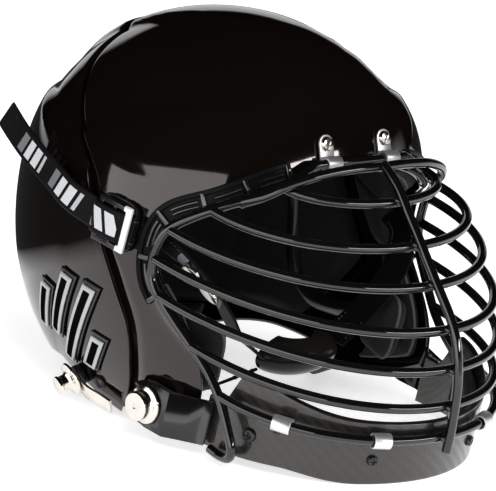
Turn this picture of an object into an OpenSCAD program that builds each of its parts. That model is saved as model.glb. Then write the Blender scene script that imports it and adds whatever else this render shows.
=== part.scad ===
// Bull riding helmet: two lapped shells, a welded wire mask that swings up on its brow clips,
// a chin guard on side arms, and straps with snaps.
// It is drawn level, wearer's face toward -Y and crown toward +Z, and stand() tips it onto
// its chin guard and nape, where it rests.

/* [Shell] */
// Width over both shell sides
shell_w = 228; // [216:1:240]
// Reach of the brow in front of the shell's centre
brow_reach = 93; // [90:1:96]
// Reach of the jaw flaps' curve in front of the shell's centre
jaw_reach = 160; // [154:1:166]
// Reach of the back of the shell behind its centre
nape_reach = 155; // [149:1:161]
// Height of the crown over the shell's centre
crown_rise = 125; // [119:1:131]
// Depth of the skirt's curve under the shell's centre
skirt_drop = 151; // [145:1:157]
// Wall of both shells
shell_wall = 3; // [2.6:0.1:3.6]
// Depth of the recess beside the raised crown band
crown_step = 3.4; // [2:0.1:4]
// Half width of the raised crown band at the top
band_half = 25; // [20:1:30]
// Height of the rear shell's face over the front shell's face beside the seam
lap_rise = 1.2; // [0.8:0.1:1.6]
// Clearance between the rear shell and the front shell's tongue under it
lap_gap = 0.5; // [0.4:0.1:0.7]
// Width of the moulded trim round the face opening
trim_w = 13; // [10:1:15]
// Thickness of that trim
trim_t = 2; // [1.6:0.1:2.4]

/* [Mask] */
// Diameter of the coated mask wires
wire_d = 5.8; // [5.2:0.1:6.2]
// Running clearance round the hinge wire in the brow clips
wire_play = 0.06; // [0.04:0.01:0.09]
// Distance of each brow clip from the middle
clip_half = 24; // [20:1:27]
// Width of a clip's strap
clip_w = 11; // [9:0.5:12.5]
// Thickness of a clip's strap
clip_t = 1.2; // [1:0.1:1.5]
// Swing of the mask from worn to raised
mask_swing = 60; // [50:1:62]
// Exponent of the bars' rounded plan
bar_round = 2.05; // [1.95:0.01:2.2]

/* [Chin guard] */
// Height of the guard's plate at the front
guard_h = 38; // [34:1:40]
// Thickness of the guard's plate
guard_t = 4; // [3:0.1:4.5]
// Half width of the guard at its arms
guard_half = 93.3; // [92:0.1:93.8]
// Thickness of a guard arm
arm_t = 3.5; // [3:0.1:4]
// Diameter of an arm stud
stud_d = 7; // [6:0.1:7.6]
// Diameter of a release knob's flange
knob_d = 23.5; // [20:0.5:25]
// Travel of a release knob when it is pulled off
knob_travel = 14; // [12:0.5:18]

/* [Straps] */
// Width of the webbing
strap_w = 19; // [17:0.5:21]
// Thickness of the webbing
strap_t = 1.8; // [1.5:0.1:2.2]
// Diameter of a strap snap's socket plate
snap_d = 21; // [18:0.5:22]
// Travel of a strap snap when it is pulled off
snap_travel = 9; // [7:0.5:12]

/* [Padding] */
// Thickness of the impact liner
liner_t = 14; // [11:0.5:16]
// Gap between the liner and the shell
liner_gap = 0.9; // [0.8:0.1:1.1]

/* [Hidden] */

half_w = shell_w / 2;
wire_r = wire_d / 2;
centre = [0, -7, 154];
guard_front = [-200, 69.5];
nape_foot = [90, 28];
tip = atan((guard_front.y - nape_foot.y) / (nape_foot.x - guard_front.x));
hinge = [0, -92.5, 226];
hinge_half = 36;

// Small helpers
function unit(v) = v / norm(v);
function mix(a, b, t) = a + (b - a) * t;
function clamp(t) = min(1, max(0, t));
function ease(t) = let (c = clamp(t)) c * c * (3 - 2 * c);
function flip(p) = [-p.x, p.y, p.z];
function floor_z(y) = guard_front.y - tan(tip) * (y - guard_front.x);

// A smooth curve through hand-picked points, read at 0 to 1
function knot(pts, i) = pts[min(len(pts) - 1, max(0, i))];
function curve(pts, t) =
  let (u = clamp(t) * (len(pts) - 1), k = min(floor(u), len(pts) - 2), f = u - k,
       a = knot(pts, k - 1), b = knot(pts, k), c = knot(pts, k + 1), d = knot(pts, k + 2))
  0.5 * (2 * b + (c - a) * f + (2 * a - 5 * b + 4 * c - d) * f * f
         + (3 * b - a - 3 * c + d) * f * f * f);
function samples(pts, n) = [for (i = [0:n]) curve(pts, i / n)];
function both_sides(pts) = concat(pts, [for (i = [len(pts) - 2:-1:0]) flip(pts[i])]);

// The shell's outer form, as a distance from its centre along a direction
function shell_r(d) =
  let (low = ease(-d.z / 0.5), front = mix(brow_reach, jaw_reach, low),
       b = d.y < 0 ? front : nape_reach, c = d.z > 0 ? crown_rise : skirt_drop,
       up = clamp(0.5 + d.z / 0.8),
       n = mix(mix(2.14, 2.6, ease((0.3 - d.y) / 0.4)), mix(2, 2.35, ease(-d.y / 0.5)), up))
  pow(pow(abs(d.x) / half_w, n) + pow(abs(d.y) / b, n) + pow(abs(d.z) / c, n), -1 / n);

// Width over which the recess steps down
crease_w = 12;
// The recess on each side of the crown band, from 0 outside it to 1 inside
crease = [[-62, 249], [-42, 238], [-16, 222], [20, 203], [60, 188]];
function crease_z(y) = curve([for (q = crease) q.y], (y - crease[0].x) / 120);
function recess(p) =
  ease((abs(p.x) - band_half - 16 * ease(-p.y / 60)) / crease_w)
  * ease((p.z - crease_z(p.y)) / crease_w) * ease((p.y + 62) / crease_w);
function on_shell(p, off = 0) =
  let (v = p - centre, d = unit(v), q = centre + d * shell_r(d))
  centre + d * (shell_r(d) + off - crown_step * recess(q));

// Edge curves of the shells, right half from the bottom up to the middle
seam_half = [
  [-96, -39, 49], [-102.5, -48, 68], [-107, -50, 86], [-110.5, -45, 109], [-113, -29, 130],
  [-114, 1, 165], [-109, 18, 187], [-92, 55, 205], [-61, 86, 225], [-31, 96, 240],
  [0, 99, 243]
];
opening_half = [
  [-94, -98.5, 82], [-96, -99.5, 95], [-98, -91, 113], [-101.5, -73.5, 131],
  [-105.5, -56, 145.5], [-106, -51.5, 162], [-101.5, -55, 180], [-82, -74, 196],
  [-54, -88, 213], [0, -92, 222]
];
foot_half = [
  [-96, -39, 49], [-97, -30, 50], [-98, -18, 53], [-98, -4, 54], [-95, 14, 53],
  [-90, 32, 50], [-83, 50, 43], [-69, 68, 33], [-45, 84, floor_z(84)], [-22, 89, floor_z(89)],
  [0, 90, nape_foot.y]
];
seam = both_sides(seam_half);
opening = both_sides(opening_half);
foot = both_sides(foot_half);

// A curved panel of the shell's form between two edge curves.
// v runs along the curves, u from the first to the second. Rows in edge lie at those
// distances from the first curve. A row below zero belongs to a tongue that reaches under
// the neighbour, towards the curve in other, and sink is how deep the tongue lies.
// Where the curves run together, those rows keep to a part of the width.
function edge_row(gap, e) = min(e / max(1, gap), 0.2 + e / 30);
function row(gap, j, edge, u, nu) =
  len(edge) == 0 ? mix(u[0], u[1], j / nu)
  : j < len(edge) ? edge_row(gap, abs(edge[j]))
  : mix(edge_row(gap, edge[len(edge) - 1]), u[1], (j - len(edge) + 1) / nu);
function panel_point(a, b, v, j, edge, u, nu, off, sink, other) =
  let (tongue = j < len(edge) && edge[j] < 0, p = curve(a, v), q = curve(tongue ? other : b, v),
       gap = norm(q - p), t = row(gap, j, edge, u, nu), up = tongue ? 0 : ease(t * gap / 9),
       s = on_shell(mix(p, q, t), off - sink * (1 - up)))
  [s.x, s.y, max(s.z, floor_z(s.y))];
module panel(a, b, v = [0, 1], u = [0, 1], outer = 0, inner = -3, nv = 24, nu = 8,
             edge = [], sink = 0, other = []) {
  cols = nu + max(1, len(edge));
  pts = [
    for (side = [outer, inner], i = [0:nv], j = [0:cols - 1])
      panel_point(a, b, mix(v[0], v[1], i / nv), j, edge, u, nu, side, sink, other)
  ];
  skin(pts, nv + 1, cols);
}

// A closed solid from two grids of points, the outer one first
module skin(pts, rows, cols) {
  grid = rows * cols;
  m = rows - 1;
  n = cols - 1;
  function at(s, i, j) = s * grid + i * cols + j;
  faces = concat(
    [for (i = [0:m - 1], j = [0:n - 1]) each [
      [at(0, i, j), at(0, i + 1, j), at(0, i + 1, j + 1)],
      [at(0, i, j), at(0, i + 1, j + 1), at(0, i, j + 1)],
      [at(1, i, j), at(1, i + 1, j + 1), at(1, i + 1, j)],
      [at(1, i, j), at(1, i, j + 1), at(1, i + 1, j + 1)]]],
    [for (i = [0:m - 1]) each [
      [at(0, i, 0), at(1, i, 0), at(1, i + 1, 0)],
      [at(0, i, 0), at(1, i + 1, 0), at(0, i + 1, 0)],
      [at(0, i, n), at(1, i + 1, n), at(1, i, n)],
      [at(0, i, n), at(0, i + 1, n), at(1, i + 1, n)]]],
    [for (j = [0:n - 1]) each [
      [at(0, 0, j), at(1, 0, j + 1), at(1, 0, j)],
      [at(0, 0, j), at(0, 0, j + 1), at(1, 0, j + 1)],
      [at(0, m, j), at(1, m, j), at(1, m, j + 1)],
      [at(0, m, j), at(1, m, j + 1), at(0, m, j + 1)]]]);
  polyhedron(pts, faces, convexity = 6);
}

// A section swept along points; ref is a fixed side direction, or none to face off the shell
function tangent(path, i) =
  unit(path[min(i + 1, len(path) - 1)] - path[max(i - 1, 0)]);
function ring(path, i, section, ref) =
  let (t = tangent(path, i), r = is_undef(ref) ? path[i] - centre : ref,
       a = unit(cross(t, r)), b = cross(a, t))
  [for (q = section) path[i] + a * q.x + b * q.y];
module sweep(path, section, ref = undef) {
  m = len(section);
  last = (len(path) - 1) * m;
  pts = [for (i = [0:len(path) - 1]) each ring(path, i, section, ref)];
  faces = concat(
    [[for (k = [m - 1:-1:0]) k], [for (k = [0:m - 1]) last + k]],
    [for (i = [0:len(path) - 2], k = [0:m - 1])
      let (a = i * m + k, b = i * m + (k + 1) % m)
      each [[a, b + m, a + m], [a, b, b + m]]]);
  polyhedron(pts, faces, convexity = 6);
}
function round_section(r, n = 8) = [for (k = [0:n - 1]) r * [cos(360 * k / n), sin(360 * k / n)]];
function flat_section(w, t) = [[-w / 2, -t / 2], [w / 2, -t / 2], [w / 2, t / 2], [-w / 2, t / 2]];

// Shift that brings the middle of the length over the origin
stand_y = 48.2;
module stand() {
  translate([0, stand_y, -floor_z(0) * cos(tip)])
    rotate([tip, 0, 0])
      children();
}
module pair() {
  children();
  mirror([1, 0, 0])
    children();
}

// Path of the mask's edge wire down the right side, from its hinge length at the brow
// to its foot under the guard arm
edge_half = [
  [-hinge_half, hinge.y, hinge.z], [-54.5, -91.5, 216.5], [-72.5, -85.5, 207],
  [-87, -77.5, 199.2], [-99.5, -68.2, 190.2], [-107.8, -58.6, 179.4], [-111.2, -54.6, 168.6],
  [-112.4, -54.2, 156], [-111.9, -58.5, 143.4], [-107.5, -73.4, 129.7],
  [-101.9, -90.8, 116.4], [-99.5, -105, 107],
  [-100, -119, 97], [-100.5, -130, 84], [-100.5, -136.5, 74], [-99.5, -135, 67.5],
  [-98.5, -127, 65], [-98, -118, 65]
];
edge_side = samples(edge_half, 48);

// Height of each bar where it leaves the edge wire
bar_z = [214, 195, 178, 159, 139, 118, 99];
// Profile of the mask's front, as [forward y, height]
front_profile = [
  [-202.8, 92], [-202.3, 104], [-200.5, 120], [-198, 134], [-192, 150], [-183, 163],
  [-164, 180],
  [-146, 196.5], [-134, 207], [-121, 218.5], [-107, 226]
];

// Reading of a curve that falls or climbs steadily in z
function edge_at(z, i = 0) =
  edge_side[i + 1].z <= z || i > len(edge_side) - 3
    ? mix(edge_side[i], edge_side[i + 1],
          (edge_side[i].z - z) / max(0.01, edge_side[i].z - edge_side[i + 1].z))
    : edge_at(z, i + 1);
function front_at(z, i = 0) =
  front_profile[i + 1].y >= z || i > len(front_profile) - 3
    ? mix(front_profile[i].x, front_profile[i + 1].x,
          (z - front_profile[i].y) / (front_profile[i + 1].y - front_profile[i].y))
    : front_at(z, i + 1);

// Plan of a rounded bar from one side over the front, as [x, y]
function plan(w, side_y, front_y, a, n) =
  [-w * sign(cos(a)) * pow(abs(cos(a)), 2 / n),
   side_y + (front_y - side_y) * pow(sin(a), 2 / n)];
function bar_path(k, steps = 24) =
  let (e = edge_at(bar_z[k]), side_y = e.y - wire_r + 0.5,
       front_y = k == 0 ? -127 : front_at(bar_z[k]))
  [for (i = [0:steps]) let (q = plan(-e.x, side_y, front_y, 180 * i / steps, bar_round))
    [q.x, q.y, bar_z[k]]];

module wire(path, ref = undef) sweep(path, round_section(wire_r / cos(22.5)), ref);
module x_rod(r, from, to) translate([from, 0, 0]) rotate([0, 90, 0]) cylinder(r = r, h = to - from, $fn = 48);

// Shells and trim
tongue_sink = shell_wall + lap_gap - lap_rise;
module front_shell() {
  color("#15120f")
    stand()
      panel(seam, opening, outer = 0, inner = -shell_wall, nv = 44, nu = 12,
            edge = [-12, -6, 0, 4.5, 10], sink = tongue_sink, other = foot);
}
module rear_shell() {
  color("#15120f")
    stand()
      panel(seam, foot, v = [1, 0], outer = lap_rise, inner = lap_rise - shell_wall,
            nv = 44, nu = 10, edge = [0, 6, 12, 14.5]);
}
// Points beside the face opening, a trim's width out along the shell
function beside(i) =
  let (p = on_shell(opening[i]), t = opening[min(i + 1, 18)] - opening[max(i - 1, 0)])
  p + trim_w * unit(cross(shell_normal(p), t));
module face_trim() {
  color("#1b1b1b")
    stand()
      for (v = [[0.2, 0.42], [0.58, 0.8]])
        panel([for (i = [0:18]) beside(i)], opening, v = v,
              outer = trim_t + 0.3, inner = 0.3, nv = 18, nu = 2);
}

// Places children on the shell at the point under p, with their Z straight out of it
function shell_normal(p) =
  let (o = on_shell(p), d = unit(p - centre),
       e = unit(cross(d, abs(d.z) > 0.9 ? [1, 0, 0] : [0, 0, 1])),
       a = on_shell(p + 4 * e), b = on_shell(p + 4 * cross(d, e)), n = unit(cross(a - o, b - o)))
  n * d > 0 ? n : -n;
module along(n) {
  rotate([0, acos(n.z), atan2(n.y, n.x)])
    children();
}
module off_shell(p, off = 0) {
  n = shell_normal(p);
  translate(on_shell(p) + n * off)
    along(n)
      children();
}

// Impact liner and pads inside the shells
in_1 = -shell_wall - liner_gap;
in_2 = in_1 - liner_t;
in_rear = lap_rise + in_1;
// The clear width beside the seam, where the tongue lies lower than the shell
seam_clear = 12;
module lining(v, u, outer, inner, nv, nu) {
  panel(seam, opening, v = v, u = u, outer = outer, inner = inner, nv = nv, nu = nu,
        edge = [seam_clear]);
}
module crown_liner() {
  color("#26262a")
    stand()
      lining([16 / 44, 28 / 44], [0, 0.845], in_1, in_2, 12, 10);
}
module side_liners() {
  color("#26262a")
    stand()
      for (v = [[9 / 44, 15.9 / 44], [28.1 / 44, 35 / 44]])
        lining(v, [0, 0.845], in_1 - 0.4, in_2 - 0.4, 7, 10);
}
module rear_liner() {
  color("#26262a")
    stand()
      panel(seam, foot, v = [35 / 44, 9 / 44], u = [0, 0.9], outer = in_rear, inner = in_rear - liner_t,
            nv = 26, nu = 9, edge = [14.5]);
}
module brow_pad() {
  color("#202024")
    stand()
      panel(seam, opening, v = [15 / 44, 29 / 44], u = [0.875, 0.985],
            outer = in_1, inner = in_1 - 17, nv = 14, nu = 3);
}
module ear_pads() {
  color("#202024")
    stand()
      for (v = [[1 / 44, 8.8 / 44], [35.2 / 44, 43 / 44]])
        lining(v, [0, 0.9], in_1, in_1 - 15, 8, 6);
}
module nape_pad() {
  color("#202024")
    stand()
      panel(seam, foot, v = [0.64, 0.36], u = [0.915, 0.985],
            outer = in_rear, inner = in_rear - 13, nv = 14, nu = 2);
}
module jaw_pads() {
  color("#202024")
    stand()
      pair()
        off_shell([-99, -78, 104], in_1 - 15 - 7.9)
          rotate([0, 90, 0])
            pad([18, 32, 42], 5);
}
// A padded block with crowned faces and drawn-in sides
module pad(size, bulge) {
  n = 8;
  skin([for (s = [-1, 1], i = [0:n], j = [0:n])
    let (a = -1 + 2 * i / n, b = -1 + 2 * j / n)
    [s * (size.x / 2 - bulge * (1 - (1 - pow(a, 4)) * (1 - pow(b, 4)))),
     a * size.y / 2 * (1 - 0.08 * b * b), b * size.z / 2 * (1 - 0.08 * a * a)]],
    n + 1, n + 1);
}

// Brow clips, which hold the hinge wire against the brow
clip_bore = wire_r + wire_play;
clip_tilt = 65;
clip_reach = 11.5;
module at_clips() {
  for (x = [-clip_half, clip_half])
    translate([x, hinge.y, hinge.z])
      children();
}
module brow_clips() {
  color("silver")
    stand()
      at_clips()
        difference() {
          union() {
            x_rod(clip_bore + clip_t, -clip_w / 2, clip_w / 2);
            rotate([clip_tilt, 0, 0])
              translate([0, 0, -clip_bore - clip_t]) {
                translate([-clip_w / 2, 0, 0])
                  cube([clip_w, clip_reach, clip_t]);
                translate([0, clip_reach, 0])
                  cylinder(r = clip_w / 2, h = clip_t, $fn = 40);
              }
          }
          x_rod(clip_bore, -clip_w, clip_w);
        }
}
module brow_screws() {
  color("silver")
    stand()
      at_clips()
        rotate([clip_tilt, 0, 0])
          translate([0, clip_reach, -clip_bore])
            slotted_head(4.6, 2.2, 60);
}
module slotted_head(r, h, turn) {
  difference() {
    cylinder(r1 = r, r2 = r * 0.82, h = h, $fn = 40);
    rotate([0, 0, turn])
      translate([-r, -0.5, h - 0.9])
        cube([2 * r, 1, 2]);
  }
}
module cross_head(r, h) {
  difference() {
    cylinder(r1 = r, r2 = r * 0.8, h = h, $fn = 40);
    for (a = [0, 90])
      rotate([0, 0, a])
        translate([-r * 0.6, -0.45, h - 1])
          cube([r * 1.2, 0.9, 2]);
  }
}

// Mask wires
module hinge_wire() {
  color("#101010")
    stand()
      translate(hinge)
        x_rod(wire_r, -hinge_half, hinge_half);
}
module perimeter_wires() {
  color("#101010")
    stand()
      pair()
        wire(concat([[-hinge_half + 0.1, hinge.y, hinge.z]], [for (i = [1:48]) edge_side[i]]));
}
brow_half = [
  [-80, -82, 202], [-74, -93, 210], [-62, -101, 220], [-42, -107, 227], [-20, -109, 229],
  [0, -109.5, 229]
];
module brow_wire() {
  color("#101010")
    stand()
      wire(samples(both_sides(brow_half), 28), [0, 0.5, 1]);
}
module bar(k) {
  color("#101010")
    stand()
      wire(bar_path(k), [0, 0, 1]);
}
module bar_1() bar(0);
module bar_2() bar(1);
module bar_3() bar(2);
module bar_4() bar(3);
module bar_5() bar(4);
module bar_6() bar(5);
module bar_7() bar(6);
// The centre bar stands in front of the bars that it is welded to
module centre_bar() {
  out = wire_d - 0.2;
  color("#101010")
    stand()
      wire([for (i = [0:22])
        let (p = curve(front_profile, i / 22), q = curve(front_profile, min(1, i / 22 + 0.04)),
             t = unit(i < 22 ? q - p : [13, 7]))
        [0, p.x - out * t.y, p.y + out * t.x]], [1, 0, 0]);
}

// Chin guard: a curved plate under the lowest bar
guard_side = -104;
guard_start = -112;
guard_round = 2;
function guard_foot(y) = floor_z(y) + 5.5 * ease((y - guard_front.x - 12) / 34);
function guard_plan(f, inset) =
  let (w = guard_half - inset, front = guard_front.x + 1 + inset, start = guard_start)
  f < 0.06 ? [-w, mix(guard_side, start, f / 0.06)]
  : f > 0.94 ? [w, mix(start, guard_side, (f - 0.94) / 0.06)]
  : plan(w, start, front, 180 * (f - 0.06) / 0.88, guard_round);
function guard_point(f, h, inset) =
  let (q = guard_plan(f, inset), low = guard_foot(q.y),
       top = guard_front.y + guard_h + 9 * ease((q.y + 185) / 55) - 24 * ease((q.y + 128) / 14))
  [q.x, q.y, mix(low, top, h)];
module guard_skin(f, h, outer, inner, nf, nh) {
  skin([for (inset = [inner, outer], i = [0:nf], j = [0:nh])
    guard_point(mix(f[0], f[1], i / nf), mix(h[0], h[1], j / nh), inset)],
    nf + 1, nh + 1);
}
module chin_guard() {
  color("#1a1a1c")
    stand()
      guard_skin([0, 1], [0, 1], 0, guard_t, 44, 3);
}
module guard_liner() {
  color("#202024")
    stand()
      guard_skin([0.16, 0.84], [0.14, 0.86], guard_t + 0.3, guard_t + 9, 26, 2);
}

// Guard arms: plates that carry the guard and fork round the studs on the shell.
// The rear length of each stands square to the hinge, the front length turns in to the guard.
arm_in = 106;
arm_bend = -88;
arm_turn = atan((arm_in - guard_half - 0.4) / (arm_bend + 113));
stud = [-72.5, 73.5];
slot_play = 0.6;
arm_rear = [
  [arm_bend, 60], [-74, 59], [-66, 60], [-60, 63.5], [-57, 69], [-57, 77], [-60, 82.5],
  [-66, 86], [-74, 87.5], [arm_bend, 88]
];
arm_front = [
  [arm_bend + 1.5, 60], [arm_bend + 1.5, 88], [-101, 89.5], [-113, 91], [-113, 64], [-99, 62]
];
// Turns a side-view outline, drawn as [y, z], into a plate whose inner face has x = -inner
module side_plate(inner, t)
  translate([-inner, 0, 0]) rotate([90, 0, -90]) mirror([1, 0, 0]) linear_extrude(t) children();
module guard_arms() {
  color("#141414")
    stand()
      pair()
        difference() {
          union() {
            side_plate(arm_in, arm_t)
              polygon(arm_rear);
            translate([-arm_in, arm_bend, 0])
              rotate([0, 0, arm_turn])
                translate([0, -arm_bend, 0])
                  side_plate(0, arm_t)
                    polygon(arm_front);
          }
          stud_path();
        }
}
// The way a stud takes past the arm as the mask swings: an arc about the hinge wire
stud_swing = norm([stud.x - hinge.y, stud.y - hinge.z]);
stud_angle = atan2(stud.x - hinge.y, hinge.z - stud.y);
module stud_path() {
  r = stud_d / 2 + slot_play;
  translate([-arm_in - 20, hinge.y, hinge.z])
    rotate([0, 90, 0])
      rotate([0, 0, stud_angle])
        rotate_extrude(angle = 20, $fn = 360)
          translate([stud_swing - r, 0])
            square([2 * r, 40]);
  translate([-arm_in - 20, stud.x, stud.y])
    rotate([0, 90, 0])
      cylinder(r = r, h = 40, $fn = 48);
}
arm_gap = 0.4;
module at_stud(out) {
  translate([-arm_in - out, stud.x, stud.y])
    rotate([0, -90, 0])
      children();
}
module arm_studs() {
  color("#202020")
    stand()
      pair() {
        at_stud(-3.6)
          cylinder(r = 5, h = 3.2, $fn = 48);
        at_stud(-0.5)
          cylinder(r = stud_d / 2, h = arm_t + arm_gap + 6.5, $fn = 48);
      }
}
module knob() {
  at_stud(arm_t + arm_gap)
    difference() {
      rotate_extrude($fn = 96)
        polygon([
          [0, 0], [knob_d / 2 - 0.8, 0], [knob_d / 2, 0.9], [knob_d / 2 - 0.4, 2.4],
          [knob_d / 2 - 3.2, 3.2], [knob_d / 2 - 4.4, 4.4], [knob_d / 2 - 3.2, 5.4],
          [knob_d / 2 - 3, 9.2], [knob_d / 2 - 4, 10], [0, 10]
        ]);
      translate([0, 0, -1])
        cylinder(r = stud_d / 2 + 0.05, h = 8, $fn = 48);
      translate([0, 0, 9.4])
        cylinder(r = 1.4, h = 2, $fn = 24);
    }
}
module right_knob() {
  color("silver")
    stand()
      knob();
}
module left_knob() {
  color("silver")
    stand()
      mirror([1, 0, 0])
        knob();
}

// Band clips that hold the lowest bar to the guard, as [angle round the bar, reach inward]
function low_bar(a) =
  let (e = edge_at(bar_z[6]), q = plan(-e.x, e.y - wire_r + 0.5, front_at(bar_z[6]), a, bar_round))
  [q.x, q.y, bar_z[6]];
module on_low_bar(a) {
  d = low_bar(a + 1) - low_bar(a - 1);
  translate(low_bar(a))
    rotate([0, 0, atan2(d.y, d.x)])
      children();
}
band_spots = [[28, 7.6], [65, 4.2], [115, 4.2], [152, 7.6]];
module guard_clips() {
  color("silver")
    stand()
      for (q = band_spots)
        on_low_bar(q.x)
          difference() {
            union() {
              x_rod(wire_r + 0.6 + clip_t, -clip_w / 2, clip_w / 2);
              translate([-clip_w / 2, 0, -2.4])
                cube([clip_w, q.y - 0.4, 4.8]);
            }
            x_rod(wire_r + 0.6, -10, 10);
          }
}
// Screws through the guard, as [angle round the guard, height, radius]
screw_spots = [[64, 84, 3.4], [27, 92, 3.4], [17, 82, 4.4]];
module on_guard(a) {
  p = plan(guard_half, guard_start, guard_front.x + 1, a, guard_round);
  d = plan(guard_half, guard_start, guard_front.x + 1, a + 1, guard_round)
      - plan(guard_half, guard_start, guard_front.x + 1, a - 1, guard_round);
  translate(p)
    rotate([0, 0, atan2(d.y, d.x)])
      children();
}
module guard_screws() {
  color("#1c1c1c")
    stand()
      pair()
        for (q = screw_spots)
          on_guard(q.x)
            translate([0, -0.3, q.y])
              rotate([90, 0, 0])
                cross_head(q.z, 2);
}

// Rear snap posts, their screws and the snaps with their tabs
post_point = [-99, -4, 60];
post = on_shell(post_point, lap_rise);
snap_axis = shell_normal(post_point);
snap_seat = 5.4;
post_r = 3;
module at_post(out = 0) {
  translate(post + snap_axis * out)
    along(snap_axis)
      children();
}
module strap_posts() {
  color("#17171a")
    stand()
      pair() {
        at_post(0.6)
          cylinder(r = 6.5, h = 4, $fn = 48);
        at_post(0.6)
          cylinder(r = post_r, h = 12.5, $fn = 48);
      }
}
module post_screws() {
  color("#2a2a2a")
    stand()
      pair()
        off_shell([-104, -24, 62], lap_rise + 0.2)
          slotted_head(4.4, 1.8, 20);
}
tab_t = 1.6;
tab_path = [
  post + snap_axis * (snap_seat + tab_t / 2) + 7 * unit([-snap_axis.y, snap_axis.x, 0]) * -1,
  post + snap_axis * (snap_seat + tab_t / 2), on_shell([-100, -17, 58], 7.4),
  on_shell([-100, -28, 57.5], 6.9), on_shell([-99, -36, 57], 6.6)
];
module snap() {
  difference() {
    union() {
      at_post(snap_seat + tab_t)
        rotate_extrude($fn = 64)
          polygon([
            [0, 0], [snap_d / 2 - 0.5, 0], [snap_d / 2, 0.6], [snap_d / 2 - 0.5, 1.8],
            [6.8, 2.8], [5, 4.4], [4.8, 8], [5.7, 8.8], [5.5, 10.4], [0, 10.8]
          ]);
      sweep(samples(tab_path, 10), flat_section(11, tab_t), snap_axis);
    }
    at_post(snap_seat - 1)
      cylinder(r = post_r + 0.05, h = 9.5, $fn = 48);
  }
}
module right_snap() {
  color("silver")
    stand()
      snap();
}
module left_snap() {
  color("silver")
    stand()
      mirror([1, 0, 0])
        snap();
}

// Webbing and its buckles
buckle = [-118, -22, 168];
base_lift = 0.4;
base_t = 2.6;
strap_lift = base_lift + base_t + 0.5 + strap_t / 2;
frame_lift = strap_lift + strap_t / 2 + 0.5;
// The strap lies flat through the buckle, then follows the shell and hangs free
buckle_axis = shell_normal(buckle);
function at_strap(s) =
  on_shell(buckle) + buckle_axis * strap_lift + s * unit([buckle_axis.y, -buckle_axis.x, 0]);
outer_half = [
  at_strap(-16), at_strap(-8), at_strap(0), at_strap(8), at_strap(17), [-120.5, 16, 169.5],
  [-117, 36, 172.5], [-111.5, 56, 173.5], [-107, 76, 176], [-104, 92, 180], [-103, 104, 185]
];
module outer_straps() {
  color("#202020")
    stand()
      pair()
        sweep(samples(outer_half, 24), flat_section(strap_w, strap_t), buckle_axis);
}
module at_buckle(off) {
  off_shell(buckle, off)
    children();
}
// A rounded plate with a fine serrated rim
module buckle_bases() {
  color("#141414")
    stand()
      pair()
        at_buckle(base_lift)
          linear_extrude(base_t)
            polygon([for (i = [0:95]) let (a = 3.75 * i, r = 15 + 0.6 * (i % 2))
              [r * sign(cos(a)) * pow(abs(cos(a)), 0.5), r * sign(sin(a)) * pow(abs(sin(a)), 0.5)]]);
}
module buckle_frames() {
  color("silver")
    stand()
      pair()
        at_buckle(frame_lift)
          difference() {
            translate([-14, -12, 0])
              cube([28, 26, 2.4]);
            for (y = [-8, 2.5])
              translate([-10.5, y, -1])
                cube([21, 7, 5]);
          }
}
inner_half = [
  on_shell([-107, -46.5, 165], -10.8), [-94, -56, 160], [-87, -65, 153], [-77.5, -73, 142],
  [-66, -76, 129], [-52, -75, 113], [-32.6, -75.5, 98.3]
];
inner_ref = [0.9, -0.1, 0.5];
module inner_straps() {
  color("#202020")
    stand()
      pair()
        sweep(samples(inner_half, 16), flat_section(strap_w, strap_t), inner_ref);
}
module inner_snaps() {
  color("silver")
    stand()
      pair()
        for (t = [0.33, 0.5])
          let (q = unit(curve(inner_half, t + 0.03) - curve(inner_half, t - 0.03)),
               face = unit((inner_ref * q) * q - inner_ref))
          translate(curve(inner_half, t) + face * (strap_t / 2 + 0.5))
            along(face)
              cylinder(r = 6.8, h = 2.6, $fn = 48);
}
lower_half = [
  [-87, -14, 49], [-82, -24, 50], [-75, -36, 53.5], [-65, -48, 60], [-52, -60, 69],
  [-27, -75, 85.9]
];
module lower_straps() {
  color("#202020")
    stand()
      pair()
        sweep(samples(lower_half, 12), flat_section(strap_w * 0.8, strap_t), [0.5, 0.1, 1]);
}
cup = [0, -74, 95];
module chin_cup() {
  color("#3a3a3c")
    stand()
      translate(cup)
        cup_skin(0, 2.2);
}
module chin_cup_pad() {
  color("#202024")
    stand()
      translate(cup)
        cup_skin(2.5, 6.5);
}
// A shallow bowl for the chin, open to the rear
module cup_skin(outer, inner) {
  n = 18;
  m = 6;
  size = [34, 20, 14];
  skin([for (s = [inner, outer], i = [0:n], j = [0:m])
    let (a = 10 + 160 * i / n, b = -62 + 124 * j / m)
    [-(size.x - s) * cos(a) * cos(b), -(size.y - s) * sin(a) * cos(b), (size.z - s) * sin(b)]],
    n + 1, m + 1);
}

// Side badges: three slanted bars on a shared base
badge_off = lap_rise + 0.3;
badge_slots = [[-22, 72, 96], [-2, 64, 124], [18, 74, 122], [36, 66, 104]];
function slant(y, z) = [-108, y + (z - 90) * -0.28, z];
module badge_bar(q, w, off, t) {
  a = [for (k = [0:4]) slant(q.x - w / 2, mix(q.y, q.z, k / 4))];
  b = [for (k = [0:4]) slant(q.x + w / 2, mix(q.y, q.z, k / 4))];
  panel(b, a, outer = off + t, inner = off, nv = 6, nu = 2);
}
module badge_bases() {
  color("#17171a")
    stand()
      pair()
        for (q = badge_slots)
          badge_bar([q.x, q.y - 2.5, q.z + 2.5], 15, badge_off, 1.4);
}
module badge_bars() {
  color("#b9bcc0")
    stand()
      pair()
        for (q = badge_slots)
          badge_bar(q, 11, badge_off + 1.6, 1.4);
}

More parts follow.
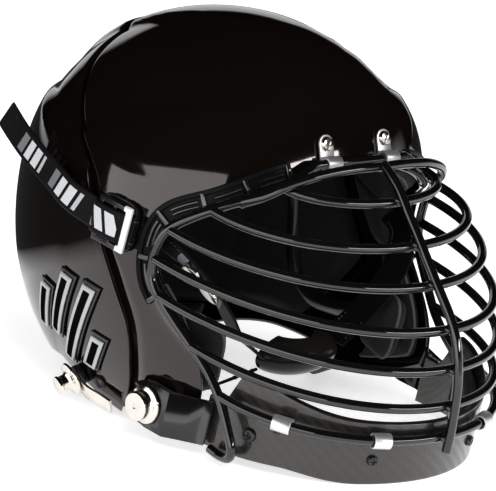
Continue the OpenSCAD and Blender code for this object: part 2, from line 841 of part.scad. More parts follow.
front_shell();
rear_shell();
face_trim();
crown_liner();
side_liners();
rear_liner();
brow_pad();
ear_pads();
jaw_pads();
nape_pad();
brow_clips();
brow_screws();
hinge_wire();
perimeter_wires();
brow_wire();
bar_1();
bar_2();
bar_3();
bar_4();
bar_5();
bar_6();
bar_7();
centre_bar();
chin_guard();
guard_liner();
guard_arms();
guard_clips();
guard_screws();
arm_studs();
right_knob();
left_knob();
strap_posts();
post_screws();
right_snap();
left_snap();
outer_straps();
buckle_bases();
buckle_frames();
inner_straps();
inner_snaps();
lower_straps();
chin_cup();
chin_cup_pad();
badge_bases();
badge_bars();
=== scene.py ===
"""Bull riding helmet: shells, wire mask, guard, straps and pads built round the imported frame."""

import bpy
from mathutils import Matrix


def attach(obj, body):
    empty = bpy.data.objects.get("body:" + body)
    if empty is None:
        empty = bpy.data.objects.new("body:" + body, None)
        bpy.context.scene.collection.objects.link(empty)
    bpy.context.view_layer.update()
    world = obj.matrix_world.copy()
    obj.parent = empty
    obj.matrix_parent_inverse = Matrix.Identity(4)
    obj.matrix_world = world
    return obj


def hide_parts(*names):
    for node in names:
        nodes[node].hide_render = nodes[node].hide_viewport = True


bl_info = {
    "name": "Bull riding helmet",
    "version": (1, 0, 0),
    "blender": (4, 5, 0),
    "location": "View3D > Sidebar > Helmet",
    "description": "Builds the looks of a bull riding helmet over its packed frame",
    "category": "Add Mesh",
}

import math

import bmesh
import bpy
import numpy as np
from bpy.props import FloatProperty, FloatVectorProperty, IntProperty, PointerProperty
from mathutils import Matrix, Vector

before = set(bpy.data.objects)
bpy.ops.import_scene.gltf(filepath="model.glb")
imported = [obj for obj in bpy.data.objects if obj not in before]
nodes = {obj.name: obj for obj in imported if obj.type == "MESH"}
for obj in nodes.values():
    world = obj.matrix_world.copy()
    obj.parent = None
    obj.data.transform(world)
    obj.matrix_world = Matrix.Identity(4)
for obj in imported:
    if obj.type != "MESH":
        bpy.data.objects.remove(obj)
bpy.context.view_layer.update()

# Everything is drawn level in millimetres, as the part's source is, and stand() tips it
TIP = math.atan(41.5 / 290)
STAND_Y = 48.2
# Middle of the shell's form, and the thickness of both shells
CENTRE = np.array([0, -7, 154.0])
WALL = 3.0
# How far the rear shell is raised, its clearance over the tongue, and how far it laps over it
LAP_RISE, LAP_GAP, LAP = 1.2, 0.5, 12
# How far the side panels lie below the crown band, and the width of the slope between them,
# as the pads follow it and on the shells themselves
BAND_STEP, BAND_SLOPE, SHELL_SLOPE = 3.4, 12, 10
# Width over which the front shell sinks beside its seam
SINK_SLOPE = 13
# Lengths of the seam and of the face opening's edge, for the size of their roundings
SEAM_LENGTH, OPENING_LENGTH = 690, 560
# Radius that the mask's wires are laid out for
WIRE = 2.9


def floor_height(y):
    """Height of the surface it stands on, in the level drawing."""
    return 69.5 - math.tan(TIP) * (y + 200)


def stand(points):
    """Level points in millimetres, tipped onto the guard and nape, in metres."""
    p = np.asarray(points, float)
    y = p[..., 1] * math.cos(TIP) - p[..., 2] * math.sin(TIP) + STAND_Y
    z = p[..., 1] * math.sin(TIP) + p[..., 2] * math.cos(TIP) - floor_height(0) * math.cos(TIP)
    return np.stack([p[..., 0], y, z], -1) / 1000


def ease(t):
    """0 to 1 with a soft start and end."""
    c = np.clip(t, 0, 1)
    return c * c * (3 - 2 * c)


def mix(a, b, t):
    """From a to b as t goes from 0 to 1."""
    return a + (b - a) * t


def unit(v):
    """Directions of length one."""
    v = np.asarray(v, float)
    return v / np.maximum(np.linalg.norm(v, axis=-1, keepdims=True), 1e-9)


def flip(points):
    """The same points on the other side of the helmet."""
    return np.asarray(points, float) * [-1, 1, 1]


def curve(points, t):
    """A smooth curve through given points, read at 0 to 1."""
    p = np.asarray(points, float)
    n = len(p) - 1
    u = np.clip(np.asarray(t, float), 0, 1) * n
    k = np.minimum(u.astype(int), n - 1)
    f = (u - k)[..., None]
    a, b, c, d = (p[np.clip(k + o, 0, n)] for o in (-1, 0, 1, 2))
    return 0.5 * (2 * b + (c - a) * f + (2 * a - 5 * b + 4 * c - d) * f**2
                  + (3 * b - a - 3 * c + d) * f**3)


def samples(points, n):
    """n + 1 points along the smooth curve through the given ones."""
    return curve(points, np.linspace(0, 1, n + 1))


def both_sides(points):
    """A path from one side over the middle, where its given half ends, to the other side."""
    return np.concatenate([np.asarray(points, float), flip(points)[-2::-1]])


# Form of the shell
def shell_radius(d):
    """Distance from the centre to the shell's form, without its side panels."""
    x, y, z = np.moveaxis(d, -1, 0)
    reach = np.where(y < 0, mix(93, 160, ease(-z / 0.5)), 155)
    tall = np.where(z > 0, 125, 151)
    up = np.clip(0.5 + z / 0.8, 0, 1)
    n = mix(mix(2.14, 2.6, ease((0.3 - y) / 0.4)), mix(2, 2.35, ease(-y / 0.5)), up)
    return ((abs(x) / 114) ** n + (abs(y) / reach) ** n + (abs(z) / tall) ** n) ** (-1 / n)


def crease_height(y):
    """Height at which the side panels begin, along the helmet."""
    heights = [[249], [238], [222], [203], [188]]
    return curve(heights, (y + 62) / 120)[..., 0]


def recess(p, width=BAND_SLOPE):
    """How deep a point lies in the side panels beside the crown band, 0 to 1."""
    x, y, z = np.moveaxis(p, -1, 0)
    return (ease((abs(x) - 25 - 16 * ease(-y / 60)) / width)
            * ease((z - crease_height(y)) / width) * ease((y + 62) / width))


def on_shell(p, off=0.0, width=BAND_SLOPE):
    """The point on the shell's form over or under p, moved out by off."""
    v = np.asarray(p, float) - CENTRE
    d = unit(v)
    r = shell_radius(d)
    q = CENTRE + d * r[..., None]
    return CENTRE + d * (r + off - BAND_STEP * recess(q, width))[..., None]


def shell_normal(p):
    """Straight out of the shell, at the point under p."""
    d = unit(np.asarray(p, float) - CENTRE)
    up = np.where(abs(d[..., 2:]) > 0.9, [1.0, 0, 0], [0, 0, 1.0])
    e = unit(np.cross(d, up))
    o = on_shell(p)
    n = unit(np.cross(on_shell(p + 4 * e) - o, on_shell(p + 4 * np.cross(d, e)) - o))
    return n * np.sign((n * d).sum(-1, keepdims=True))


SEAM = both_sides([
    [-96, -39, 49], [-102.5, -48, 68], [-107, -50, 86], [-110.5, -45, 109], [-113, -29, 130],
    [-114, 1, 165], [-109, 18, 187], [-92, 55, 205], [-61, 86, 225], [-31, 96, 240], [0, 99, 243]])
OPENING = both_sides([
    [-94, -98.5, 82], [-96, -99.5, 95], [-98, -91, 113], [-101.5, -73.5, 131],
    [-105.5, -56, 145.5], [-106, -51.5, 162], [-101.5, -55, 180], [-82, -74, 196],
    [-54, -88, 213], [0, -92, 222]])
FOOT = both_sides([
    [-96, -39, 49], [-97, -30, 50], [-98, -18, 53], [-98, -4, 54], [-95, 14, 53], [-90, 32, 50],
    [-83, 50, 43], [-69, 68, 33], [-45, 84, floor_height(84)], [-22, 89, floor_height(89)],
    [0, 90, 28]])


def patch(a, b, v, t, off, sink=0.0, width=BAND_SLOPE):
    """Points of the shell's form between two edge curves, v along them and t across."""
    p, q = curve(a, v)[:, None], curve(b, v)[:, None]
    gap = np.linalg.norm(q - p, axis=-1)
    t = np.broadcast_to(t, (len(v), np.shape(t)[-1]))
    lower = sink * (1 - ease(t * gap / SINK_SLOPE))
    s = on_shell(mix(p, q, t[..., None]), off - lower, width)
    s[..., 2] = np.maximum(s[..., 2], floor_height(s[..., 1]))
    return s


# Meshes
def grid_uv(grid):
    """Lengths along and across a grid of points, in metres."""
    along = np.linalg.norm(np.diff(grid, axis=0), axis=-1)
    across = np.linalg.norm(np.diff(grid, axis=1), axis=-1)
    u = np.vstack([np.zeros(grid.shape[1]), np.cumsum(along, 0)])
    v = np.hstack([np.zeros((grid.shape[0], 1)), np.cumsum(across, 1)])
    return np.stack([u, v], -1)


def placed(name, data):
    """A new object in the scene."""
    made = bpy.data.objects.new(name, data)
    bpy.context.scene.collection.objects.link(made)
    return made


def tidy_mesh(mesh):
    """Welds a mesh and turns its faces out."""
    edit = bmesh.new()
    edit.from_mesh(mesh)
    bmesh.ops.remove_doubles(edit, verts=edit.verts, dist=2e-6)
    bmesh.ops.dissolve_degenerate(edit, edges=edit.edges, dist=1e-6)
    bmesh.ops.recalc_face_normals(edit, faces=edit.faces)
    for face in edit.faces:
        face.smooth = True
    edit.to_mesh(mesh)
    edit.free()


def settle(made, body, stands_for=()):
    """Puts a piece on its body, in place of the CAD nodes that it stands for."""
    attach(made, body)
    if stands_for:
        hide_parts(*stands_for)


def skin_faces(rows, cols, start=0):
    """Faces of a closed solid from an outer grid and the inner grid that follows it."""
    k = start + np.arange(rows * cols).reshape(rows, cols)
    m = k + rows * cols
    out = []
    for g, turn in ((k, 1), (m, -1)):
        quads = np.stack([g[:-1, :-1], g[1:, :-1], g[1:, 1:], g[:-1, 1:]], -1).reshape(-1, 4)
        out += quads[:, ::turn].tolist()
    for a, b in ((k[:, 0], m[:, 0]), (m[:, -1], k[:, -1]), (m[0], k[0]), (k[-1], m[-1])):
        out += np.stack([a[:-1], b[:-1], b[1:], a[1:]], -1).tolist()
    return out


def skins(name, pairs, finish, body, stands_for=()):
    """One piece of several walls, each between an outer and an inner grid."""
    points, faces, uv = [], [], []
    for outer, inner in pairs:
        faces += skin_faces(*outer.shape[:2], start=sum(len(p) for p in points))
        points += [outer.reshape(-1, 3), inner.reshape(-1, 3)]
        uv += [grid_uv(outer / 1000).reshape(-1, 2)] * 2
    mesh = bpy.data.meshes.new(name)
    mesh.from_pydata(stand(np.concatenate(points)).tolist(), [], faces)
    layer = mesh.uv_layers.new(name="Surface")
    corners = np.array([l.vertex_index for l in mesh.loops])
    layer.data.foreach_set("uv", np.concatenate(uv).astype(np.float32)[corners].ravel())
    tidy_mesh(mesh)
    mesh.materials.append(finish)
    made = placed(name, mesh)
    settle(made, body, stands_for)
    return made


def mirrored(pairs):
    """Walls of one side, and the same walls on the other side."""
    return pairs + [(flip(o), flip(i)) for o, i in pairs]


def run_lengths(path):
    """Length along a path at each of its points."""
    return np.concatenate([[0], np.cumsum(np.linalg.norm(np.diff(path, axis=0), axis=-1))])


def strap_axes(path, side):
    """Directions along a strap, across it and out of its face, which looks to the side."""
    along = unit(np.gradient(path, axis=0))
    wide = unit(np.cross(along, np.broadcast_to(side, path.shape)))
    return along, wide, unit(np.cross(wide, along))


def ribbon(path, side, width, thick):
    """Outer and inner faces of a strap: side is its face direction at each point."""
    _, wide, out = strap_axes(path, side)
    flat = 0.8
    edge = 0.06 * np.arange(1, 4)
    w = np.concatenate([[-1.0], -1 + edge, np.linspace(-flat, flat, 7), 1 - edge[::-1], [1.0]])
    fall = np.clip((abs(w) - flat) / (1 - flat), 0, 1)
    half = np.sqrt(np.clip(1 - fall**2, 0.05, 1)) * thick / 2
    return tuple(path[:, None] + wide[:, None] * (w * width / 2)[None, :, None]
                 + out[:, None] * (face * half)[None, :, None] for face in (1, -1))


def refined(name, node_name, finish, body, bevel=0.0003, limit=28):
    """A copy of an exact CAD node with its edges sharper than the limit rounded."""
    mesh = nodes[node_name].data.copy()
    mesh.materials.clear()
    edit = bmesh.new()
    edit.from_mesh(mesh)
    bmesh.ops.remove_doubles(edit, verts=edit.verts, dist=2e-6)
    bmesh.ops.dissolve_limit(edit, verts=edit.verts, edges=edit.edges, angle_limit=0.01)
    for face in edit.faces:
        face.smooth = True
    edit.to_mesh(mesh)
    edit.free()
    mesh.materials.append(finish)
    made = placed(name, mesh)
    rounding = made.modifiers.new("Rounded edges", "BEVEL")
    rounding.width = bevel
    rounding.segments = 2
    rounding.limit_method = "ANGLE"
    rounding.angle_limit = math.radians(limit)
    rounding.harden_normals = True
    settle(made, body, [node_name])
    return made


# Geometry Nodes trees
def new_tree(name, inputs):
    """A Geometry Nodes tree with named inputs, and its first and last node."""
    tree = bpy.data.node_groups.new(name, "GeometryNodeTree")
    for label, kind, value in inputs:
        socket = tree.interface.new_socket(label, in_out="INPUT", socket_type=kind)
        if value is not None:
            socket.default_value = value
    tree.interface.new_socket("Geometry", in_out="OUTPUT", socket_type="NodeSocketGeometry")
    return tree, tree.nodes.new("NodeGroupInput"), tree.nodes.new("NodeGroupOutput")


def node(tree, kind, inputs=None, **settings):
    """A new node; each input is a value, or an output to link."""
    made = tree.nodes.new(kind)
    for key, value in settings.items():
        setattr(made, key, value)
    for key, value in (inputs or {}).items():
        if isinstance(value, bpy.types.NodeSocket):
            tree.links.new(value, made.inputs[key])
        else:
            made.inputs[key].default_value = value
    return made


def finished_tree(tree, given, out, last):
    """Ends a tree in real geometry with its finish."""
    real = node(tree, "GeometryNodeRealizeInstances", {"Geometry": last.outputs[0]})
    done = node(tree, "GeometryNodeSetMaterial",
                {"Geometry": real.outputs[0], "Material": given.outputs["Finish"]})
    tree.links.new(done.outputs[0], out.inputs[0])
    return tree


def wire_tree():
    """Round rods swept along every path of the mesh it is given."""
    if found := bpy.data.node_groups.get("Round rod on a path"):
        return found
    tree, given, out = new_tree("Round rod on a path", [
        ("Geometry", "NodeSocketGeometry", None), ("Radius", "NodeSocketFloat", 0.0029),
        ("Sides", "NodeSocketInt", 16), ("Finish", "NodeSocketMaterial", None)])
    line = node(tree, "GeometryNodeMeshToCurve", {"Mesh": given.outputs["Geometry"]})
    ring = node(tree, "GeometryNodeCurvePrimitiveCircle",
                {"Resolution": given.outputs["Sides"], "Radius": given.outputs["Radius"]})
    rod = node(tree, "GeometryNodeCurveToMesh",
               {"Curve": line.outputs[0], "Profile Curve": ring.outputs[0], "Fill Caps": True})
    return finished_tree(tree, given, out, rod)


def repeat_tree():
    """A small shape set at every point of the mesh it is given."""
    if found := bpy.data.node_groups.get("Shape at each point"):
        return found
    tree, given, out = new_tree("Shape at each point", [
        ("Geometry", "NodeSocketGeometry", None), ("Shape", "NodeSocketObject", None),
        ("Size", "NodeSocketFloat", 1.0), ("Size variation", "NodeSocketFloat", 0.0),
        ("Seed", "NodeSocketInt", 7), ("Finish", "NodeSocketMaterial", None)])
    dots = node(tree, "GeometryNodeMeshToPoints", {"Mesh": given.outputs["Geometry"]})
    shape = node(tree, "GeometryNodeObjectInfo", {"Object": given.outputs["Shape"]})
    turn = node(tree, "GeometryNodeInputNamedAttribute", {"Name": "turn"},
                data_type="FLOAT_VECTOR")
    low = node(tree, "ShaderNodeMath", {0: 1.0, 1: given.outputs["Size variation"]},
               operation="SUBTRACT")
    chance = node(tree, "FunctionNodeRandomValue",
                  {"Min": low.outputs[0], "Max": 1.0, "Seed": given.outputs["Seed"]},
                  data_type="FLOAT")
    size = node(tree, "ShaderNodeMath", {0: given.outputs["Size"], 1: chance.outputs[1]},
                operation="MULTIPLY")
    put = node(tree, "GeometryNodeInstanceOnPoints",
               {"Points": dots.outputs[0], "Instance": shape.outputs["Geometry"],
                "Rotation": turn.outputs[0], "Scale": size.outputs[0]})
    return finished_tree(tree, given, out, put)


def grown(name, source, tree, values, body, stands_for=()):
    """Runs a tree on a source mesh and keeps the result as a plain piece."""
    carrier = placed(name + "_source", source)
    modifier = carrier.modifiers.new("Nodes", "NODES")
    modifier.node_group = tree
    for item in tree.interface.items_tree:
        if item.in_out == "INPUT" and item.name in values:
            modifier[item.identifier] = values[item.name]
    bpy.context.view_layer.update()
    seen = carrier.evaluated_get(bpy.context.evaluated_depsgraph_get())
    mesh = bpy.data.meshes.new_from_object(seen)
    mesh.name = name
    bpy.data.objects.remove(carrier)
    if not len(mesh.polygons):
        raise RuntimeError(name + " came out empty")
    tidy_mesh(mesh)
    made = placed(name, mesh)
    settle(made, body, stands_for)
    return made


def path_mesh(name, paths):
    """A mesh of open chains, one for each path of level millimetre points."""
    co = np.concatenate([stand(p) for p in paths])
    edges, start = [], 0
    for p in paths:
        edges += [(start + i, start + i + 1) for i in range(len(p) - 1)]
        start += len(p)
    mesh = bpy.data.meshes.new(name)
    mesh.from_pydata(co.tolist(), edges, [])
    return mesh


def point_mesh(name, spots):
    """Points with turns: each spot is a place and the directions of its shape's X and Z."""
    mesh = bpy.data.meshes.new(name)
    places = np.array([s[0] for s in spots], float)
    mesh.from_pydata(stand(places).tolist(), [], [])
    turns = []
    for place, x, z in spots:
        o = stand(place)
        zz = Vector(stand(np.add(place, z)) - o).normalized()
        xx = Vector(stand(np.add(place, x)) - o)
        xx = (xx - zz * xx.dot(zz)).normalized()
        turns.append(Matrix((xx, zz.cross(xx), zz)).transposed().to_euler())
    mesh.attributes.new("turn", "FLOAT_VECTOR", "POINT").data.foreach_set(
        "vector", np.array(turns, np.float32).ravel())
    return mesh


# Finishes
def maths(tree, how, *values):
    """Result of a math node."""
    return node(tree, "ShaderNodeMath", dict(enumerate(values)), operation=how).outputs[0]


def new_group(name, inputs, outputs):
    """A shader group with named inputs and outputs, and its first and last node."""
    group = bpy.data.node_groups.new(name, "ShaderNodeTree")
    for label, kind, value in inputs:
        socket = group.interface.new_socket(label, in_out="INPUT", socket_type=kind)
        if value is not None:
            socket.default_value = value
    for label in outputs:
        group.interface.new_socket(label, in_out="OUTPUT", socket_type="NodeSocketFloat")
    return group, group.nodes.new("NodeGroupInput"), group.nodes.new("NodeGroupOutput")


def marks_group():
    """Cloudy handling marks and a fine grain, for every hard finish."""
    if found := bpy.data.node_groups.get("Handling marks"):
        return found
    group, given, out = new_group(
        "Handling marks",
        [("Place", "NodeSocketVector", None), ("Cloud scale", "NodeSocketFloat", 18.0),
         ("Grain scale", "NodeSocketFloat", 900.0)], ["Cloud", "Grain"])
    cloud = node(group, "ShaderNodeTexNoise",
                 {"Vector": given.outputs[0], "Scale": given.outputs[1], "Detail": 4.0})
    grain = node(group, "ShaderNodeTexNoise",
                 {"Vector": given.outputs[0], "Scale": given.outputs[2], "Detail": 2.0})
    group.links.new(cloud.outputs["Fac"], out.inputs[0])
    group.links.new(grain.outputs["Fac"], out.inputs[1])
    return group


def threads_group():
    """Plain weave: threads that pass over and under each other, with a painted shade that is
    darkest in the gaps between them.
    """
    if found := bpy.data.node_groups.get("Woven threads"):
        return found
    group, given, out = new_group(
        "Woven threads",
        [("Surface", "NodeSocketVector", None), ("Pitch along", "NodeSocketFloat", 0.001),
         ("Pitch across", "NodeSocketFloat", 0.001)], ["Height", "Painted thread shade"])
    axes = node(group, "ShaderNodeSeparateXYZ", {0: given.outputs[0]})
    waves = []
    for axis, pitch in ((0, 1), (1, 2)):
        turns = maths(group, "DIVIDE", axes.outputs[axis], given.outputs[pitch])
        waves.append(maths(group, "SINE", maths(group, "MULTIPLY", turns, math.pi)))
    woven = maths(group, "MULTIPLY", *waves)
    group.links.new(maths(group, "MULTIPLY_ADD", woven, 0.5, 0.5), out.inputs[0])
    # Painted shade: zero in the gaps between the threads, one on their tops
    group.links.new(maths(group, "ABSOLUTE", woven), out.inputs[1])
    return group


def twill_group():
    """Two-over-two twill: which tow lies on top, and its roundness."""
    if found := bpy.data.node_groups.get("Twill tows"):
        return found
    group, given, out = new_group(
        "Twill tows", [("Surface", "NodeSocketVector", None),
                       ("Tow width", "NodeSocketFloat", 0.0022)], ["Warp on top", "Roundness"])
    axes = node(group, "ShaderNodeSeparateXYZ", {0: given.outputs[0]})
    u = maths(group, "DIVIDE", axes.outputs[0], given.outputs[1])
    v = maths(group, "DIVIDE", axes.outputs[1], given.outputs[1])
    step = maths(group, "ADD", maths(group, "FLOOR", u), maths(group, "FLOOR", v))
    warp = maths(group, "LESS_THAN", maths(group, "FLOORED_MODULO", step, 4.0), 1.5)
    bows = [maths(group, "SINE", maths(group, "MULTIPLY", maths(group, "FRACT", w), math.pi))
            for w in (u, v)]
    bow = node(group, "ShaderNodeMix", {0: warp, 2: bows[1], 3: bows[0]}).outputs[0]
    group.links.new(warp, out.inputs[0])
    group.links.new(bow, out.inputs[1])
    return group


def mixed(tree, factor, first, second):
    """Mix of two colours."""
    made = node(tree, "ShaderNodeMix", {0: factor, 6: first, 7: second}, data_type="RGBA")
    return made.outputs[2]


def ranged(tree, value, low, high):
    """A value from 0 to 1, spread from low to high."""
    return node(tree, "ShaderNodeMapRange", {0: value, 3: low, 4: high}).outputs[0]


def finish_base(name, **constants):
    """A new material with its Principled shader and the values that don't vary."""
    material = bpy.data.materials.new(name)
    material.use_nodes = True
    tree = material.node_tree
    shader = tree.nodes["Principled BSDF"]
    for key, value in constants.items():
        shader.inputs[key.replace("_", " ")].default_value = value
    return material, tree, shader


def surface_marks(tree, place, cloud=18.0, grain=900.0):
    """Cloud and grain of a finish, at a place."""
    return node(tree, "ShaderNodeGroup", {0: place, 1: cloud, 2: grain},
                node_tree=marks_group()).outputs


def threads(tree, place, along, across):
    """Height and shade of a weave with those pitches."""
    return node(tree, "ShaderNodeGroup", {0: place, 1: along, 2: across},
                node_tree=threads_group()).outputs


def dress(tree, shader, tint, rough, height, strength, depth):
    """Links a finish's colour, roughness and relief to its shader."""
    relief = node(tree, "ShaderNodeBump",
                  {"Strength": strength, "Distance": depth, "Height": height})
    for key, value in (("Base Color", tint), ("Roughness", rough),
                       ("Normal", relief.outputs[0])):
        tree.links.new(value, shader.inputs[key])


def hard_finish(name, colour, second, rough, cloud=18.0, grain=900.0, bump=0.02, depth=0.0001,
                **constants):
    """A smooth or grained hard surface: two near colours, a roughness range and a grain."""
    if found := bpy.data.materials.get(name):
        return found
    material, tree, shader = finish_base(name, **constants)
    marks = surface_marks(tree, node(tree, "ShaderNodeTexCoord").outputs["Object"], cloud, grain)
    dress(tree, shader, mixed(tree, marks[0], (*colour, 1), (*second, 1)),
          ranged(tree, marks[0], *rough), marks[1], bump, depth)
    return material


def black_finish(name, tone, rough, **rest):
    """A hard black finish whose paler tone is twice its darker one."""
    return hard_finish(name, (tone,) * 3, (2 * tone,) * 3, rough, **rest)


def cloth_finish(name, colour, light, pitch):
    """Knitted or woven cloth over foam, with a painted highlight on its thread tops that varies in
    a random cloud.
    """
    if found := bpy.data.materials.get(name):
        return found
    material, tree, shader = finish_base(name, Sheen_Weight=0.06, Sheen_Roughness=0.5,
                                         Specular_IOR_Level=0.25)
    place = node(tree, "ShaderNodeTexCoord")
    marks = surface_marks(tree, place.outputs["Object"])
    weave = threads(tree, place.outputs["UV"], pitch, pitch)
    # Painted highlight on the thread tops, times a random cloud of paler tone
    thread_top_highlight_and_cloud = maths(tree, "MULTIPLY", weave["Painted thread shade"], marks["Cloud"])
    dress(tree, shader, mixed(tree, thread_top_highlight_and_cloud, (*colour, 1), (*light, 1)),
          ranged(tree, marks["Grain"], 0.7, 0.9), weave["Height"], 0.5, 0.0004)
    return material


# Where the printed blocks begin along one repeat of the print, and how pale each stretch is
PRINT_BLOCKS = ((0.0, 0), (0.05, 0.7), (0.12, 0), (0.18, 0.9), (0.34, 0), (0.4, 0.9),
                (0.54, 0), (0.6, 0.25), (0.74, 0))
# Length of a repeat and its lean, and the middle and half the height of the print, in metres
PRINT_REPEAT, PRINT_LEAN = 0.046, 0.42
PRINT_MIDDLE, PRINT_HALF = 0.0095, 0.0062


def webbing_finish(name, colour, ink=None, start=0.0, end=0.0):
    """Ribbed webbing with painted shade between its threads, and generic slanted blocks of ink from
    start to end along it.
    """
    if found := bpy.data.materials.get(name):
        return found
    material, tree, shader = finish_base(name, Sheen_Weight=0.01, Specular_IOR_Level=0.08)
    place = node(tree, "ShaderNodeTexCoord")
    axes = node(tree, "ShaderNodeSeparateXYZ", {0: place.outputs["UV"]})
    along, over = axes.outputs[0], axes.outputs[1]
    weave = threads(tree, place.outputs["UV"], 0.0011, 0.0016)
    # Painted shade: the gaps between the threads are a third as bright as their tops
    dark = tuple(c * 0.35 for c in colour)
    cloth = mixed(tree, weave["Painted thread shade"], (*dark, 1), (*colour, 1))
    if ink:
        leaning = maths(tree, "MULTIPLY_ADD", over, PRINT_LEAN, along)
        turn = maths(tree, "FRACT", maths(tree, "DIVIDE", leaning, PRINT_REPEAT))
        ramp = node(tree, "ShaderNodeValToRGB", {0: turn})
        ramp.color_ramp.interpolation = "CONSTANT"
        stops = ramp.color_ramp.elements
        while len(stops) < len(PRINT_BLOCKS):
            stops.new(0.5)
        for stop, (where, tone) in zip(stops, PRINT_BLOCKS):
            stop.position = where
            stop.color = (tone, tone, tone, 1)
        middle = maths(tree, "ABSOLUTE", maths(tree, "SUBTRACT", over, PRINT_MIDDLE))
        inside = maths(tree, "LESS_THAN", middle, PRINT_HALF)
        after = maths(tree, "GREATER_THAN", along, start)
        before = maths(tree, "LESS_THAN", along, end)
        where = maths(tree, "MULTIPLY", inside, maths(tree, "MULTIPLY", after, before))
        shown = maths(tree, "MULTIPLY", where, ramp.outputs[0])
        cloth = mixed(tree, shown, cloth, (*ink, 1))
    dress(tree, shader, cloth, ranged(tree, weave["Painted thread shade"], 0.62, 0.42), weave["Height"],
          0.45, 0.0003)
    return material


def twill_finish(name, dark, light, tow):
    """Clear-coated twill composite, as the chin guard has, with a painted highlight on the round
    middles of the warp tows.
    """
    if found := bpy.data.materials.get(name):
        return found
    material, tree, shader = finish_base(name, Coat_Weight=0.7, Coat_Roughness=0.05,
                                         Specular_Tint=(1.0, 0.94, 0.9, 1.0))
    place = node(tree, "ShaderNodeTexCoord")
    tows = node(tree, "ShaderNodeGroup", {0: place.outputs["UV"], 1: tow},
                node_tree=twill_group()).outputs
    cloud = surface_marks(tree, place.outputs["Object"])["Cloud"]
    # Painted highlight: the warp tows are paler towards their round middles, in place of the
    # fibres' sheen
    painted_tow_highlight = maths(tree, "MULTIPLY", tows["Roundness"], tows["Warp on top"])
    rough = maths(tree, "MULTIPLY_ADD", tows["Warp on top"], -0.15,
                  ranged(tree, cloud, 0.4, 0.5))
    dress(tree, shader, mixed(tree, painted_tow_highlight, (*dark, 1), (*light, 1)), rough, tows["Roundness"],
          0.2, 0.0002)
    return material


def shades():
    """The colours that a user may change."""
    return bpy.context.scene.helmet_colours


def sizes():
    """The sizes that a user may change."""
    return bpy.context.scene.helmet_sizes


def shell_black():
    """Both shells: gloss black with a warm tint."""
    c = tuple(shades().shell)
    return hard_finish("Gloss black shell", c, tuple(v * 1.6 for v in c), (0.04, 0.08),
                       cloud=9, grain=260, bump=0.05, depth=0.0002, Coat_Weight=0.15,
                       Coat_Roughness=0.02, Specular_Tint=(1.0, 0.93, 0.9, 1.0))


def trim_black():
    """Base and rails of the face trim."""
    return black_finish("Satin black trim", 0.003, (0.2, 0.3), grain=1500, bump=0.12,
                        Specular_IOR_Level=0.04)


def rib_gloss():
    """Rungs and ribs of the face trim."""
    return black_finish("Gloss black ribs", 0.004, (0.07, 0.14), grain=800, bump=0.08,
                        Coat_Weight=0.6, Coat_Roughness=0.04)


def wire_black():
    """Coating of the mask wires."""
    return black_finish("Coated black wire", 0.002, (0.05, 0.1), grain=500, bump=0.05,
                        depth=0.0002, Coat_Weight=0.3, Coat_Roughness=0.03)


def plate_black():
    """Guard arms and buckle bases."""
    return black_finish("Gloss black plate", 0.003, (0.14, 0.26), grain=500, bump=0.08,
                        depth=0.0002)


def nickel():
    """Knobs, snaps and brow screws."""
    c = tuple(shades().metal)
    return hard_finish("Bright nickel", c, tuple(v * 0.82 for v in c), (0.09, 0.2), cloud=140,
                       grain=2500, bump=0.1, depth=0.00005, Metallic=1.0)


def silver_band():
    """Brow clips and guard clips."""
    return hard_finish("Satin silver band", (0.78, 0.78, 0.79), (0.66, 0.66, 0.67),
                       (0.34, 0.48), cloud=160, grain=3000, bump=0.2, depth=0.00005,
                       Metallic=0.9)


def bright_frame():
    """Front bar of the buckle frames."""
    return hard_finish("Bright buckle frame", (0.85, 0.85, 0.86), (0.76, 0.76, 0.77),
                       (0.4, 0.55), cloud=160, grain=3000, bump=0.15, depth=0.00005,
                       Metallic=0.4)


def dark_steel():
    """Studs, posts and dark screws."""
    return hard_finish("Blackened steel", (0.07, 0.07, 0.072), (0.03, 0.03, 0.03),
                       (0.25, 0.45), cloud=220, grain=2500, bump=0.2, depth=0.00005,
                       Metallic=0.9)


def cup_plastic():
    """Moulded chin cup."""
    return hard_finish("Dark chin cup", (0.006, 0.005, 0.0045), (0.011, 0.01, 0.009),
                       (0.16, 0.28), bump=0.15, depth=0.0002,
                       Specular_IOR_Level=0.25)


def badge_black():
    """Bases of the side badges."""
    return black_finish("Badge black", 0.003, (0.16, 0.26), grain=1300, bump=0.15)


def badge_slot_shade():
    """Matt black strips in the side badges' slots, with no reflection: painted shade of the deep
    slots.
    """
    return black_finish("Badge slot painted shade", 0.002, (0.4, 0.6), bump=0.3, Specular_IOR_Level=0.0)


def roll_vinyl():
    """Padded rolls beside the ears."""
    return hard_finish("Padded vinyl roll", (0.006, 0.005, 0.005), (0.012, 0.01, 0.01),
                       (0.24, 0.38), cloud=60, grain=1100, bump=0.3, depth=0.0002)


def badge_silver():
    """Bars of the side badges."""
    return hard_finish("Badge silver", (0.5, 0.51, 0.52), (0.4, 0.41, 0.42), (0.3, 0.42),
                       cloud=120, grain=2600, bump=0.15, depth=0.00005, Metallic=0.35)


def pad_cloth():
    """Comfort pads."""
    return cloth_finish("Black pad cloth", (0.005, 0.005, 0.0055), (0.016, 0.016, 0.017), 0.0012)


def liner_cloth():
    """Impact liners."""
    return cloth_finish("Charcoal liner cloth", (0.006, 0.006, 0.0065), (0.018, 0.018, 0.019),
                        0.0018)


def thread_black():
    """Stitches and welts."""
    return hard_finish("Waxed thread", (0.05, 0.05, 0.052), (0.08, 0.08, 0.08), (0.5, 0.7),
                       grain=4000, bump=0.3)


